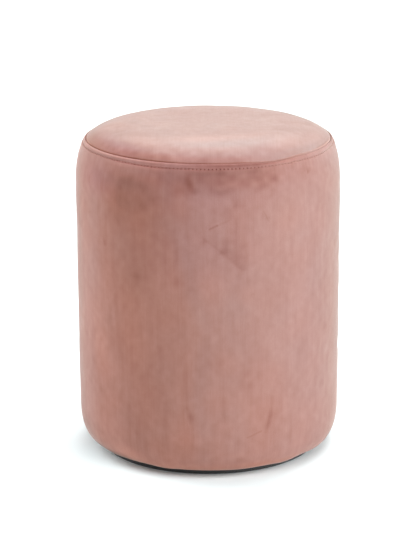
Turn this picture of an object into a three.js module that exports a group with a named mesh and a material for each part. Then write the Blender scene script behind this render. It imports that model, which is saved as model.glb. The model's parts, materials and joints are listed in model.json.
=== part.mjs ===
// A round velvet pouf, in millimetres, with +Z up and its front towards -Y.
// The origin is on the floor at the centre of the base.
// It is sewn from a round crowned top panel and one long side panel, closed by a seam at the back,
// and it stands on a low black base that shows as a dark line under the cloth.
import * as THREE from "three";

const DEGREE = Math.PI / 180;

// Driving sizes
const RADIUS = 180;
const HEIGHT = 454;
const CLEARANCE = 0.3;

// The base is a board with a rounded lower rim and a slightly eased upper one.
const BASE = { radius: 150.5, height: 8.2, lowerRound: 1.4, upperEasing: 0.7 };

// The lower corner, where the side panel is drawn in and turned under, is a quarter of a
// superellipse: how far it draws in, how high it reaches, and its exponent. The sag of its lower
// edge fades out up the curve by a power of the share still to go.
const CORNER = { inset: 27.4, rise: 52.3, exponent: 2.35, sagFade: 1.5 };

// The shoulder is the same kind of curve, and the seam cuts it off at an angle.
const SHOULDER = { inset: 25.7, rise: 65.5, exponent: 2.17, seamAngle: 63.6 * DEGREE };

// The top panel is nearly flat and rolls down to the seam over its outer part.
const CROWN = { rise: 19.4, exponent: 6.9, rollOff: 36 };

// The fold of cloth between the seam and the topstitching: how far each point lies below the
// seam, down the cloth, and how proud it stands of the smooth shoulder.
const TOPSTITCH_BELOW = 7.2;
const FOLD_ENDS_BELOW = 18;
const FOLD = [
  { below: FOLD_ENDS_BELOW, proud: 0.0 },
  { below: 12.0, proud: 0.5 },
  { below: 8.3, proud: 0.3 },
  { below: TOPSTITCH_BELOW, proud: -0.9 },
  { below: 6.1, proud: 0.6 },
  { below: 3.8, proud: 0.9 },
  { below: 1.6, proud: 0.6 },
  { below: 0.5, proud: -0.6 },
];

// The crease of the seam, a narrow gap between the two panels: its outer wall stands inside the
// seam line by its inset, and each wall leans a little at the lip.
const CREASE = { depth: 4.0, width: 1.1, inset: 1.1, lipDepth: 1.2, lipLean: 0.3 };

// The side panel's closing seam, a shallow groove up the back.
const BACK_SEAM = { azimuth: 180 * DEGREE, depth: 1.2, width: 4.0 };

// In the tables, an azimuth is in degrees from the front, growing towards +X, and a spread is
// how far to each side of it a swell, a dip or a drop reaches.
// Where the lower edge of the side panel hangs below its mean line, or is tucked above it.
const EDGE_DROPS = [
  { azimuth: -62, spread: 26, drop: -0.9 },
  { azimuth: -37, spread: 16, drop: -1.3 },
  { azimuth: -21, spread: 8, drop: 0.9 },
  { azimuth: 14, spread: 12, drop: 0.6 },
  { azimuth: 38, spread: 8, drop: 1.5 },
  { azimuth: 70, spread: 22, drop: 1.8 },
  { azimuth: 112, spread: 20, drop: -0.8 },
  { azimuth: 146, spread: 16, drop: 0.9 },
  { azimuth: -150, spread: 18, drop: 1.0 },
  { azimuth: -112, spread: 22, drop: -0.7 },
];

// Where the seam strays down from its true circle, so that the fold under it narrows.
const SEAM_DIPS = [
  { azimuth: 30, spread: 17, dip: 2.4 },
  { azimuth: -150, spread: 24, dip: 1.4 },
];

// Broad swells and hollows of the padding behind the side panel.
const SIDE_SWELLS = [
  { azimuth: -84, spread: 40, height: 405, reach: 60, swell: 1.3 },
  { azimuth: 86, spread: 36, height: 402, reach: 60, swell: -1.1 },
  { azimuth: 20, spread: 34, height: 300, reach: 110, swell: 0.8 },
  { azimuth: -38, spread: 36, height: 170, reach: 120, swell: -0.8 },
  { azimuth: 66, spread: 40, height: 120, reach: 90, swell: 0.7 },
  { azimuth: 150, spread: 44, height: 240, reach: 130, swell: 0.8 },
  { azimuth: -140, spread: 40, height: 330, reach: 110, swell: -0.7 },
];

// Broad swells and hollows of the padding under the top panel, placed by azimuth and by distance
// from the centre.
const TOP_SWELLS = [
  { azimuth: 40, out: 70, reach: 90, swell: 1.0 },
  { azimuth: -110, out: 85, reach: 80, swell: -1.2 },
  { azimuth: 170, out: 60, reach: 70, swell: 0.6 },
];

// Steps round the pouf: even ones, apart from the first few on each side of the closing seam.
const COLUMNS = 90;
const NEAR_BACK_SEAM = [0, 0.45, 1.1, 4.6, 9.2, 14.0, 19.0].map((angle) => angle * DEGREE);

// Steps along the profiles, as shares of a curve's length or as distances in from the seam
const CORNER_SHARES = [0, 0.05, 0.12, 0.21, 0.31, 0.42, 0.54, 0.67, 0.82, 1];
const SIDE_STEPS = 7;
const SHOULDER_SHARES = [0.2, 0.4, 0.6, 0.8];
const CROWN_INSETS = [3.6, 5.5, 8.5, 12.5, 18, 25, 34, 47, 66, 92, 124, 150];

const COLOURS = { velvet: 0xb98277, black: 0x1b1b1c };

// A stretch of superellipse about a centre, given as (radius, height).
class SuperellipseArc extends THREE.Curve {
  constructor(centre, shape, from, to) {
    super();
    Object.assign(this, { centre, shape, from, to });
  }

  getPoint(t, target = new THREE.Vector2()) {
    const angle = THREE.MathUtils.lerp(this.from, this.to, t);
    const power = 2 / this.shape.exponent;
    const across = Math.max(Math.cos(angle), 0) ** power;
    const up = Math.sign(Math.sin(angle)) * Math.abs(Math.sin(angle)) ** power;
    return target.set(
      this.centre.x + this.shape.inset * across,
      this.centre.y + this.shape.rise * up,
    );
  }
}

// Places worked out from the driving sizes
const UNDERSIDE = BASE.height + CLEARANCE;
const corner = new SuperellipseArc(
  new THREE.Vector2(RADIUS - CORNER.inset, UNDERSIDE + CORNER.rise),
  CORNER,
  -Math.PI / 2,
  0,
);
const shoulderUp = SHOULDER.rise * Math.sin(SHOULDER.seamAngle) ** (2 / SHOULDER.exponent);
const shoulder = new SuperellipseArc(
  new THREE.Vector2(RADIUS - SHOULDER.inset, HEIGHT - CROWN.rise - shoulderUp),
  SHOULDER,
  0,
  SHOULDER.seamAngle,
);
const SEAM = shoulder.getPoint(1);
const SEAM_DIRECTION = shoulder.getTangentAt(1);
const CREASE_FLOOR = SEAM.y - CREASE.depth;

// A smooth bump, 1 at its middle and 0 from its spread outwards.
function bump(offset, spread) {
  const share = Math.min(Math.abs(offset) / spread, 1);
  return (1 - share * share) ** 2;
}

// The turn from one azimuth to another, the short way round.
function turnBetween(azimuth, other) {
  return Math.atan2(Math.sin(azimuth - other), Math.cos(azimuth - other));
}

// What the rows of a table add up to at an azimuth.
function sumRound(rows, azimuth, amount) {
  return rows.reduce((sum, row) => {
    const away = turnBetween(azimuth, row.azimuth * DEGREE);
    return sum + amount(row) * bump(away, row.spread * DEGREE);
  }, 0);
}

const edgeDrop = (azimuth) => sumRound(EDGE_DROPS, azimuth, (row) => row.drop);
const seamDip = (azimuth) => sumRound(SEAM_DIPS, azimuth, (row) => row.dip);

// How far the side stands out from its round form, less the groove of the closing seam.
function sideSwell(azimuth, z) {
  const padding = sumRound(SIDE_SWELLS, azimuth, (row) => row.swell * bump(z - row.height, row.reach));
  const away = turnBetween(azimuth, BACK_SEAM.azimuth) * RADIUS;
  return padding - BACK_SEAM.depth * bump(away, BACK_SEAM.width / 2);
}

// How far the top stands above its round form.
function topSwell(azimuth, r) {
  return TOP_SWELLS.reduce((sum, row) => {
    const across = r * Math.sin(azimuth) - row.out * Math.sin(row.azimuth * DEGREE);
    const along = r * Math.cos(azimuth) - row.out * Math.cos(row.azimuth * DEGREE);
    return sum + row.swell * bump(Math.hypot(across, along), row.reach);
  }, 0);
}

// Where a point of a profile lies at an azimuth. Its shares, from 0 to 1, say how far it follows
// the sag of the lower edge, the straying of the seam outwards and downwards, and the swelling
// of the side outwards and of the top upwards.
function settled({ r, z, edge = 0, dipOut = 0, dipDown = 0, swellOut = 0, swellUp = 0 }, azimuth) {
  const dip = seamDip(azimuth);
  const out = swellOut * sideSwell(azimuth, z) - dipOut * dip * SEAM_DIRECTION.x;
  const down = edge * edgeDrop(azimuth) + dipDown * dip * SEAM_DIRECTION.y;
  return { r: r + out, z: z - down + swellUp * topSwell(azimuth, r) };
}

// The azimuth of one step round the pouf, counted from the closing seam.
function columnAzimuth(column) {
  const step = column % COLUMNS;
  const fromSeam = Math.min(step, COLUMNS - step);
  const angle = NEAR_BACK_SEAM[fromSeam] ?? (fromSeam * 2 * Math.PI) / COLUMNS;
  return BACK_SEAM.azimuth + (step === fromSeam ? angle : -angle);
}

// Turns a profile about Z into a closed solid, with each point as it lies in the cloth there.
function turned(profile) {
  const outline = profile.map(({ r, z }) => new THREE.Vector2(r, z));
  const geometry = new THREE.LatheGeometry(outline, COLUMNS);
  const position = geometry.getAttribute("position");
  for (let k = 0; k < position.count; k++) {
    const azimuth = columnAzimuth(Math.floor(k / profile.length));
    const { r, z } = settled(profile[k % profile.length], azimuth);
    position.setXYZ(k, r * Math.sin(azimuth), -r * Math.cos(azimuth), z);
  }
  geometry.computeVertexNormals();
  return geometry;
}

// The point at a share of a curve's length, set proud of the curve.
function pointOn(curve, share, proud = 0) {
  const at = curve.getPointAt(share);
  const along = curve.getTangentAt(share);
  return { r: at.x + proud * along.y, z: at.y - proud * along.x };
}

// A flat black board.
function baseProfile() {
  const { radius, height, lowerRound, upperEasing } = BASE;
  const lowerRim = [0, 45, 90].map((angle) => ({
    r: radius - lowerRound * (1 - Math.sin(angle * DEGREE)),
    z: lowerRound * (1 - Math.cos(angle * DEGREE)),
  }));
  return [
    { r: 0, z: 0 },
    ...lowerRim,
    { r: radius, z: height - upperEasing },
    { r: radius - upperEasing, z: height },
    { r: 0, z: height },
  ];
}

// The side panel and the filling behind it, from its underside to the crease of the seam.
function sidePanelProfile() {
  const lowEnd = pointOn(corner, 1);
  const highEnd = pointOn(shoulder, 0);
  const shoulderLength = shoulder.getLength();
  const foldEnd = 1 - FOLD_ENDS_BELOW / shoulderLength;
  const points = [
    { r: 0, z: UNDERSIDE },
    { r: BASE.radius + CLEARANCE, z: UNDERSIDE },
  ];
  for (const share of CORNER_SHARES) {
    points.push({ ...pointOn(corner, share), edge: (1 - share) ** CORNER.sagFade, swellOut: share });
  }
  for (let k = 1; k <= SIDE_STEPS; k++) {
    const z = THREE.MathUtils.lerp(lowEnd.z, highEnd.z, k / SIDE_STEPS);
    points.push({ r: RADIUS, z, swellOut: 1 });
  }
  for (const share of SHOULDER_SHARES) {
    points.push({ ...pointOn(shoulder, share * foldEnd), swellOut: 1 });
  }
  for (const { below, proud } of FOLD) {
    const dip = Math.max(1 - below / TOPSTITCH_BELOW, 0);
    const swellOut = Math.min(below / FOLD_ENDS_BELOW, 1);
    const onFold = pointOn(shoulder, 1 - below / shoulderLength, proud);
    points.push({ ...onFold, dipOut: dip, dipDown: dip, swellOut });
  }
  const lip = SEAM.y - CREASE.lipDepth;
  const lipShare = 1 - CREASE.lipDepth / CREASE.depth;
  points.push(
    { r: SEAM.x - CREASE.inset + CREASE.lipLean, z: lip, dipOut: 1, dipDown: lipShare },
    { r: SEAM.x - CREASE.inset, z: CREASE_FLOOR, dipOut: 1 },
    { r: 0, z: CREASE_FLOOR },
  );
  return points;
}

// The top panel and the filling under it, standing in the crease.
function topPanelProfile() {
  const floor = CREASE_FLOOR + CLEARANCE;
  const foot = SEAM.x - CREASE.inset - CREASE.width;
  const lip = SEAM.y - CREASE.lipDepth;
  const lipShare = 1 - CREASE.lipDepth / CREASE.depth;
  const points = [
    { r: 0, z: floor },
    { r: foot, z: floor, dipOut: 1 },
    { r: foot + CREASE.lipLean, z: lip, dipOut: 1, dipDown: lipShare },
    { r: foot, z: SEAM.y + CREASE.lipDepth, dipOut: 1, dipDown: 1 },
  ];
  for (const inset of CROWN_INSETS) {
    const r = SEAM.x - inset;
    const z = SEAM.y + CROWN.rise * (1 - (r / SEAM.x) ** CROWN.exponent);
    const dip = bump(inset, CROWN.rollOff);
    points.push({ r, z, dipOut: dip, dipDown: dip, swellUp: 1 - dip });
  }
  points.push({ r: 0, z: HEIGHT, swellUp: 1 });
  return points;
}

function named(name, geometry, material) {
  const mesh = new THREE.Mesh(geometry, material);
  mesh.name = name;
  return mesh;
}

const velvet = new THREE.MeshStandardMaterial({ color: COLOURS.velvet, roughness: 0.9, metalness: 0 });
const black = new THREE.MeshStandardMaterial({ color: COLOURS.black, roughness: 0.7, metalness: 0 });

const pouf = new THREE.Group();
pouf.add(
  named("base", turned(baseProfile()), black),
  named("side_panel", turned(sidePanelProfile()), velvet),
  named("top_panel", turned(topPanelProfile()), velvet),
);

export default pouf;
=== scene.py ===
"""A round velvet pouf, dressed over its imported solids, with its floor, soft lights and camera.

Everything is in metres, with +Z up and the front of the pouf towards -Y. An azimuth is counted
from the front, growing towards +X. The closing seam of the side panel is at the back. A place on
the cloth is an azimuth and a length of cloth below the seam. On the top panel, which is above the
seam, that length is below zero.
"""

import json
import logging
import math
from collections.abc import Iterable, Sequence
from dataclasses import dataclass, field
from enum import Enum

import bpy
import numpy as np
from mathutils import Matrix, Vector

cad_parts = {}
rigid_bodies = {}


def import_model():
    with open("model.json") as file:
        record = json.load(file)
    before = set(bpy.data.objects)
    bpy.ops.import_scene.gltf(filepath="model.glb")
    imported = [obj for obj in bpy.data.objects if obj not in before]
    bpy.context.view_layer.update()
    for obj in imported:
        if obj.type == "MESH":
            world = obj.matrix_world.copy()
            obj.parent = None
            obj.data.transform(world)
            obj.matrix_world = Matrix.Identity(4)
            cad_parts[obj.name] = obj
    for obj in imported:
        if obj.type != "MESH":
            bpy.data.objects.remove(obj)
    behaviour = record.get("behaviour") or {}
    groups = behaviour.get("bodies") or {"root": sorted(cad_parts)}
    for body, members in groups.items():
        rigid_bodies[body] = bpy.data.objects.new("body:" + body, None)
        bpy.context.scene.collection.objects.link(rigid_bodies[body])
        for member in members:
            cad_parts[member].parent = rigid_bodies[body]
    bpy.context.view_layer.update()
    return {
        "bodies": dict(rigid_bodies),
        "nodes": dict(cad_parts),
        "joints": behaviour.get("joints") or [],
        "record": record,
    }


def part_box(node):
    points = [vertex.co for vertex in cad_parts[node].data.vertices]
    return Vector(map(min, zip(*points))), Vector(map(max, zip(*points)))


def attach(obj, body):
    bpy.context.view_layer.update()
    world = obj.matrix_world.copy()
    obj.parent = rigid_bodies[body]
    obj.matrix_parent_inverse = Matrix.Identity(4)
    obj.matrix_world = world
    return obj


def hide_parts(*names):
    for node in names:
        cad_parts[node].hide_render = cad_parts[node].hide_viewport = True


LOG = logging.getLogger("pouf")
MM = 0.001
DEGREE = math.pi / 180
TURN = 2 * math.pi
BACK = 180 * DEGREE
STITCHES = 212
TOPSTITCH_BELOW = 7.0 * MM
CLOTH_UV = "cloth"
SHADE = "shade"
WARMTH = "warmth"
BLUSH = "blush"
# How much warmer and rosier fine shading gets with each part of darkness.
FLUSH_WARMTH = 0.50
FLUSH_BLUSH = 0.06

Colour = tuple[float, float, float]
Inputs = dict[str | int, object]


class Node(Enum):
    """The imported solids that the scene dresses."""

    BASE = "base"
    SIDE = "side_panel"
    TOP = "top_panel"


class Slot(Enum):
    """The record's material slots."""

    VELVET = "velvet"
    BLACK_BASE = "black_base"


def bump(offset: np.ndarray, spread: float) -> np.ndarray:
    """A smooth bump, 1 at its middle and 0 from its spread outwards."""
    share = np.clip(np.abs(offset) / spread, 0, 1)
    return (1 - share**2) ** 2


def ease(value: np.ndarray, start: float, end: float) -> np.ndarray:
    """A smooth step, 0 at start and 1 at end."""
    share = np.clip((value - start) / (end - start), 0, 1)
    return share * share * (3 - 2 * share)


def swell(offset: np.ndarray, spread: float) -> np.ndarray:
    """A round swell, 1 at its middle, that fades without an end."""
    return np.exp(-((offset / spread) ** 2))


def turn_between(azimuth: np.ndarray, other: float) -> np.ndarray:
    """The turn from one azimuth to another, the short way round, in radians."""
    return np.arctan2(np.sin(azimuth - other), np.cos(azimuth - other))


def link(name: str, data: bpy.types.ID) -> bpy.types.Object:
    """A new object of the scene that shows the data."""
    made = bpy.data.objects.new(name, data)
    bpy.context.scene.collection.objects.link(made)
    return made


@dataclass(frozen=True)
class Bulge:
    """One place where the cloth lies off its even form.

    An azimuth and a spread are in degrees. The amount is in metres: a drop, a dip, a tuck or a
    swell, as the table that holds the row says.
    """

    azimuth: float
    spread: float
    amount: float
    level: float = 0.0
    reach: float = 0.0

    def at(self, azimuth: np.ndarray, level: np.ndarray | None = None) -> np.ndarray:
        """Its amount at each azimuth, and at each level where it has a reach.

        Args:
            azimuth: The azimuths, in radians.
            level: The levels, which only a row with a reach needs.

        Returns:
            The amounts.
        """
        share = bump(turn_between(azimuth, self.azimuth * DEGREE), self.spread * DEGREE)
        if self.reach:
            share = share * bump(level - self.level, self.reach)
        return self.amount * share


def total(rows: Iterable[Bulge], azimuth: np.ndarray, level: np.ndarray | None = None) -> np.ndarray:
    """What the rows of a table add up to."""
    return sum((row.at(azimuth, level) for row in rows), np.zeros(np.shape(azimuth)))


# Where the lower edge of the side panel hangs below its mean line, or is tucked above it.
EDGE_DROPS = (
    Bulge(-62, 26, -0.9 * MM),
    Bulge(-37, 16, -1.3 * MM),
    Bulge(-21, 8, 0.9 * MM),
    Bulge(14, 12, 0.6 * MM),
    Bulge(38, 8, 1.5 * MM),
    Bulge(51, 9, -1.2 * MM),
    Bulge(70, 22, 1.8 * MM),
    Bulge(112, 20, -0.8 * MM),
    Bulge(146, 16, 0.9 * MM),
    Bulge(-150, 18, 1.0 * MM),
    Bulge(-112, 22, -0.7 * MM),
)

# Where the seam strays down from its true circle, so that the fold under it narrows.
SEAM_DIPS = (
    Bulge(16, 52, 0.5 * MM),
    Bulge(30, 17, 2.1 * MM),
    Bulge(-150, 24, 1.4 * MM),
)

# Where the topstitching strays down, or up, from its even distance below the seam.
STITCH_STRAYS = (
    Bulge(-72, 40, -1.0 * MM),
    Bulge(-3, 42, 1.4 * MM),
    Bulge(1, 22, -0.7 * MM),
    Bulge(-13, 12, -0.5 * MM),
    Bulge(34, 26, 0.4 * MM),
    Bulge(35, 9, 0.4 * MM),
    Bulge(82, 28, -2.0 * MM),
    Bulge(160, 40, 0.8 * MM),
)

# Broad swells and hollows of the padding behind the side panel.
SIDE_SWELLS = (
    Bulge(-86, 40, 0.7 * MM, level=0.405, reach=0.060),
    Bulge(-92, 36, 0.9 * MM, level=0.342, reach=0.038),
    Bulge(-90, 40, 0.5 * MM, level=0.235, reach=0.090),
    Bulge(-88, 44, -0.9 * MM, level=0.060, reach=0.090),
    Bulge(90, 34, -0.5 * MM, level=0.325, reach=0.045),
    Bulge(20, 34, 0.8 * MM, level=0.300, reach=0.110),
    Bulge(-38, 36, -0.8 * MM, level=0.170, reach=0.120),
    Bulge(52, 34, 0.6 * MM, level=0.120, reach=0.090),
    Bulge(150, 44, 0.8 * MM, level=0.240, reach=0.130),
    Bulge(-140, 40, -0.7 * MM, level=0.330, reach=0.110),
)


@dataclass(frozen=True)
class Hump:
    """A broad swell of the top, by its azimuth in degrees and its distance out from the centre."""

    azimuth: float
    out: float
    reach: float
    amount: float

    def at(self, x: np.ndarray, y: np.ndarray) -> np.ndarray:
        """Its height over each place."""
        angle = self.azimuth * DEGREE
        away = np.hypot(x - self.out * math.sin(angle), y + self.out * math.cos(angle))
        return self.amount * bump(away, self.reach)


TOP_SWELLS = (
    Hump(40, 0.070, 0.090, 1.0 * MM),
    Hump(-110, 0.085, 0.080, -1.2 * MM),
    Hump(170, 0.060, 0.070, 0.6 * MM),
)


@dataclass(frozen=True)
class Arc:
    """A stretch of superellipse, drawn as (radius, level) about its centre."""

    inset: float
    rise: float
    exponent: float
    steps: int = 400

    def points(self, centre: tuple[float, float], start: float, end: float) -> np.ndarray:
        """Its points from one angle to another, closely spaced.

        Args:
            centre: The radius and the level of its centre.
            start: The first angle, in degrees, with 0 straight out and 90 up.
            end: The last angle.

        Returns:
            An array of (radius, level) rows.
        """
        angle = np.linspace(start, end, self.steps) * DEGREE
        power = 2 / self.exponent
        across = np.clip(np.cos(angle), 0, None) ** power
        up = np.sign(np.sin(angle)) * np.abs(np.sin(angle)) ** power
        return np.stack([centre[0] + self.inset * across, centre[1] + self.rise * up], 1)


@dataclass
class CoverProfile:
    """The turned profile of the cover: its lower corner, its straight side, shoulder and crown.

    The seam's angle is in degrees, counted up the shoulder from the straight side.
    """

    radius: float = 180.6 * MM
    height: float = 454 * MM
    underside: float = 8.5 * MM
    corner: Arc = Arc(27.4 * MM, 52.3 * MM, 2.35)
    shoulder: Arc = Arc(25.7 * MM, 65.5 * MM, 2.17)
    seam_angle: float = 62.2
    crown_rise: float = 20.1 * MM
    crown_exponent: float = 6.9

    def __post_init__(self) -> None:
        """Lays out the side from the seam down to its lower edge, by length of cloth."""
        power = 2 / self.shoulder.exponent
        shoulder_up = self.shoulder.rise * math.sin(self.seam_angle * DEGREE) ** power
        shoulder_centre = (
            self.radius - self.shoulder.inset,
            self.height - self.crown_rise - shoulder_up,
        )
        corner_centre = (self.radius - self.corner.inset, self.underside + self.corner.rise)
        line = np.concatenate([
            self.shoulder.points(shoulder_centre, self.seam_angle, 0),
            self.corner.points(corner_centre, 0, -90),
        ])
        steps = np.hypot(*np.diff(line, axis=0).T)
        self.below = np.concatenate([[0], np.cumsum(steps)])
        self.line = line
        along = np.gradient(line, self.below, axis=0)
        along /= np.linalg.norm(along, axis=1)[:, None]
        self.normal = np.stack([-along[:, 1], along[:, 0]], 1)
        self.seam = line[0]
        self.seam_direction = -along[0]
        self.length = self.below[-1]
        self.edge_radius, self.floor = line[-1]
        self.corner_length = self.length - float(np.interp(-corner_centre[1], -line[:, 1], self.below))

    def outward(self, below: np.ndarray) -> tuple[np.ndarray, np.ndarray]:
        """How far out and up the way out of the cloth goes, at a length of cloth below the seam."""
        out, up = self.normal.T
        return np.interp(below, self.below, out), np.interp(below, self.below, up)

    def at(self, below: np.ndarray, proud: np.ndarray | float = 0.0) -> tuple[np.ndarray, np.ndarray]:
        """The radius and level of the side at a length of cloth below the seam.

        Args:
            below: How far below the seam, measured down the cloth.
            proud: How far to stand out of the side there.

        Returns:
            The radii and the levels.
        """
        out, up = self.outward(below)
        radius = np.interp(below, self.below, self.line[:, 0])
        level = np.interp(below, self.below, self.line[:, 1])
        return radius + proud * out, level + proud * up

    def crown(self, radius: np.ndarray) -> np.ndarray:
        """The level of the top panel at a radius."""
        return self.seam[1] + self.crown_rise * (1 - (radius / self.seam[0]) ** self.crown_exponent)


@dataclass(frozen=True)
class Ripples:
    """Chance unevenness of cloth: a fixed sum of waves that closes on itself round the pouf."""

    seed: int
    count: int
    turns: tuple[int, int]
    lengths: tuple[float, float]
    height: float

    def at(self, azimuth: np.ndarray, below: np.ndarray) -> np.ndarray:
        """The height of the waves at each place.

        Args:
            azimuth: The azimuths, in radians.
            below: The lengths of cloth below the seam.

        Returns:
            The heights, whose spread is about the stated height.
        """
        chance = np.random.default_rng(self.seed)
        out = np.zeros(np.broadcast(azimuth, below).shape)
        for _ in range(self.count):
            turns = chance.integers(self.turns[0], self.turns[1] + 1)
            length = chance.uniform(*self.lengths) * chance.choice((-1, 1))
            phase = chance.uniform(0, TURN)
            out += np.cos(turns * azimuth + TURN * below / length + phase)
        return out * self.height * math.sqrt(2 / self.count)


@dataclass(frozen=True)
class Spots:
    """Points of the cloth: their azimuths, their lengths below the seam and their radii."""

    azimuth: np.ndarray
    below: np.ndarray
    radius: np.ndarray


@dataclass(frozen=True, kw_only=True)
class Place:
    """A place on the pile, and how dark, warm and rosy it is there.

    A place stands for pile brushed another way, for painted light and shade, or for both.
    """

    shade: float = 0.0
    warmth: float = 0.0
    blush: float = 0.0

    @property
    def flush(self) -> float:
        """The part of its shade that reddens the pile: all of it, as on any small place."""
        return self.shade

    def share(self, spots: Spots) -> np.ndarray:
        """How far each spot lies in the place, 0 to 1."""
        raise NotImplementedError


@dataclass(frozen=True)
class Mark(Place):
    """A soft oval.

    The azimuth, the half-width and the lean are in degrees, and the half-height is a length of
    cloth. The edge is the part of the oval over which it fades.
    """

    azimuth: float
    below: float
    wide: float
    tall: float
    lean: float = 0.0
    edge: float = 1.0

    broad = 10
    high = 70 * MM
    least_radius = 1 * MM

    @property
    def flush(self) -> float:
        """The part of its shade that reddens the pile: none of it where the mark is large."""
        return self.shade if self.wide < self.broad and self.tall < self.high else 0.0

    def share(self, spots: Spots) -> np.ndarray:
        """How far each spot lies in the mark, 0 to 1.

        Args:
            spots: Points of the cloth.

        Returns:
            The share of each spot.
        """
        across = turn_between(spots.azimuth, self.azimuth * DEGREE) * spots.radius
        down = spots.below - self.below
        tip = self.lean * DEGREE
        half_width = self.wide * DEGREE * np.maximum(spots.radius, self.least_radius)
        x = (across * math.cos(tip) + down * math.sin(tip)) / half_width
        y = (down * math.cos(tip) - across * math.sin(tip)) / self.tall
        return 1 - ease(np.hypot(x, y), 1 - self.edge, 1.0)


def alike(*places: Sequence[float], **look: float) -> tuple[Mark, ...]:
    """Marks that look alike, each place being (azimuth, below, half-width, half-height)."""
    return tuple(Mark(*place, **look) for place in places)


@dataclass(frozen=True)
class Patch(Place):
    """A patch with straight sides, its corners clockwise as seen from outside.

    Each corner is an azimuth in degrees and a length of cloth below the seam. The softness is the
    width over which the sides fade.
    """

    corners: tuple[tuple[float, float], ...]
    soft: float

    even_radius = 180 * MM

    def share(self, spots: Spots) -> np.ndarray:
        """How far each spot lies in the patch, 0 to 1.

        Args:
            spots: Points of the cloth.

        Returns:
            The share of each spot.
        """
        middle = sum(corner[0] for corner in self.corners) / len(self.corners) * DEGREE
        x = turn_between(spots.azimuth, middle) * spots.radius
        places = [((a * DEGREE - middle) * self.even_radius, b) for a, b in self.corners]
        out = np.ones(np.shape(x))
        for (ax, ay), (bx, by) in zip(places, places[1:] + places[:1]):
            length = math.hypot(bx - ax, by - ay)
            inside = ((bx - ax) * (spots.below - ay) - (by - ay) * (x - ax)) / length
            out = out * ease(inside, -self.soft / 2, self.soft / 2)
        return out


@dataclass(frozen=True)
class Band(Place):
    """A long band down the side, between two wandering edges.

    Each edge is a row of (length below the seam, azimuth in degrees) pairs. The softness is the
    width in degrees over which each edge fades.
    """

    left: tuple[tuple[float, float], ...]
    right: tuple[tuple[float, float], ...]
    soft: tuple[float, float]

    @property
    def flush(self) -> float:
        """The part of its shade that reddens the pile: none of it."""
        return 0.0

    def share(self, spots: Spots) -> np.ndarray:
        """How far each spot lies in the band, 0 to 1.

        Args:
            spots: Points of the cloth.

        Returns:
            The share of each spot.
        """
        turn = turn_between(spots.azimuth, 0.0) / DEGREE
        from_left = turn - np.interp(spots.below, *zip(*self.left))
        to_right = np.interp(spots.below, *zip(*self.right)) - turn
        half = self.soft[0] / 2, self.soft[1] / 2
        return ease(from_left, -half[0], half[0]) * ease(to_right, -half[1], half[1])


@dataclass(frozen=True)
class StitchShade(Place):
    """The pile pressed dark along the topstitching, with painted shade in its groove and darker painted
    shade at the needle holes; rows below zero are painted light that lifts the groove's own shade.

    The tables hold how dark it is by azimuth, as shares in place of metres.
    """

    line: tuple[Bulge, ...]
    holes: tuple[Bulge, ...]
    width: float = 0.9 * MM

    def share(self, spots: Spots) -> np.ndarray:
        """How dark each spot is, 0 to 1.

        Args:
            spots: Points of the cloth.

        Returns:
            The share of each spot.
        """
        away = spots.below - TOPSTITCH_BELOW - total(STITCH_STRAYS, spots.azimuth)
        hole = np.clip(np.cos(STITCHES * (spots.azimuth - BACK)), 0, 1) ** 2
        depth = total(self.line, spots.azimuth) + total(self.holes, spots.azimuth) * hole
        return depth * swell(away, self.width)


@dataclass(frozen=True)
class Pleats(Place):
    """Small upright pleats where the fold is sewn down, drawn as uneven stripes within a mark: painted
    light on their crests and painted shade in their folds, with no relief in the mesh.

    Each row of the wander is the height, the number round the pouf and the phase of one wave.
    """

    mark: Mark
    turns: int
    wander: tuple[tuple[float, int, float], ...] = ((0.5, 9, 0), (0.8, 23, 1))

    def share(self, spots: Spots) -> np.ndarray:
        """How far each spot lies in a pleat, from -1 on its crest to 1 in its fold."""
        phase = sum(height * np.sin(turns * spots.azimuth + start) for height, turns, start in self.wander)
        return np.cos(self.turns * spots.azimuth + phase) * self.mark.share(spots)


@dataclass(frozen=True)
class Mottle(Place):
    """Chance shading that is kept within a mark."""

    mark: Mark
    waves: Ripples

    def share(self, spots: Spots) -> np.ndarray:
        """How strong the chance shading is at each spot."""
        return self.waves.at(spots.azimuth, spots.below) * self.mark.share(spots)


@dataclass(frozen=True)
class NapAndPaintedLight:
    """A panel's pile colour: brushed places, painted light and shade, and chance clouds of shade."""

    places: tuple[Place, ...]
    clouds: tuple[Ripples, ...]
    warm_clouds: Ripples
    shade: float = 0.0
    warmth: float = 0.0
    blush: float = 0.0

    def dress(self, made: bpy.types.Object, spots: Spots) -> None:
        """Stores the darkness, the warmth and the rosiness of the pile on a mesh.

        Args:
            made: The panel.
            spots: Where the panel's points lie on the cloth, in its mesh's order.
        """
        where = spots.azimuth, spots.below
        clouds = sum((waves.at(*where) for waves in self.clouds), np.zeros(np.shape(spots.azimuth)))
        shade = self.shade + clouds
        warmth = self.warmth + FLUSH_WARMTH * clouds + self.warm_clouds.at(*where)
        blush = self.blush + FLUSH_BLUSH * clouds
        for place in self.places:
            share = place.share(spots)
            shade = shade + place.shade * share
            warmth = warmth + (place.warmth + FLUSH_WARMTH * place.flush) * share
            blush = blush + (place.blush + FLUSH_BLUSH * place.flush) * share
        for name, values in ((SHADE, shade), (WARMTH, warmth), (BLUSH, blush)):
            attribute = made.data.attributes.new(name, "FLOAT", "POINT")
            attribute.data.foreach_set("value", values.astype(np.float32))
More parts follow.
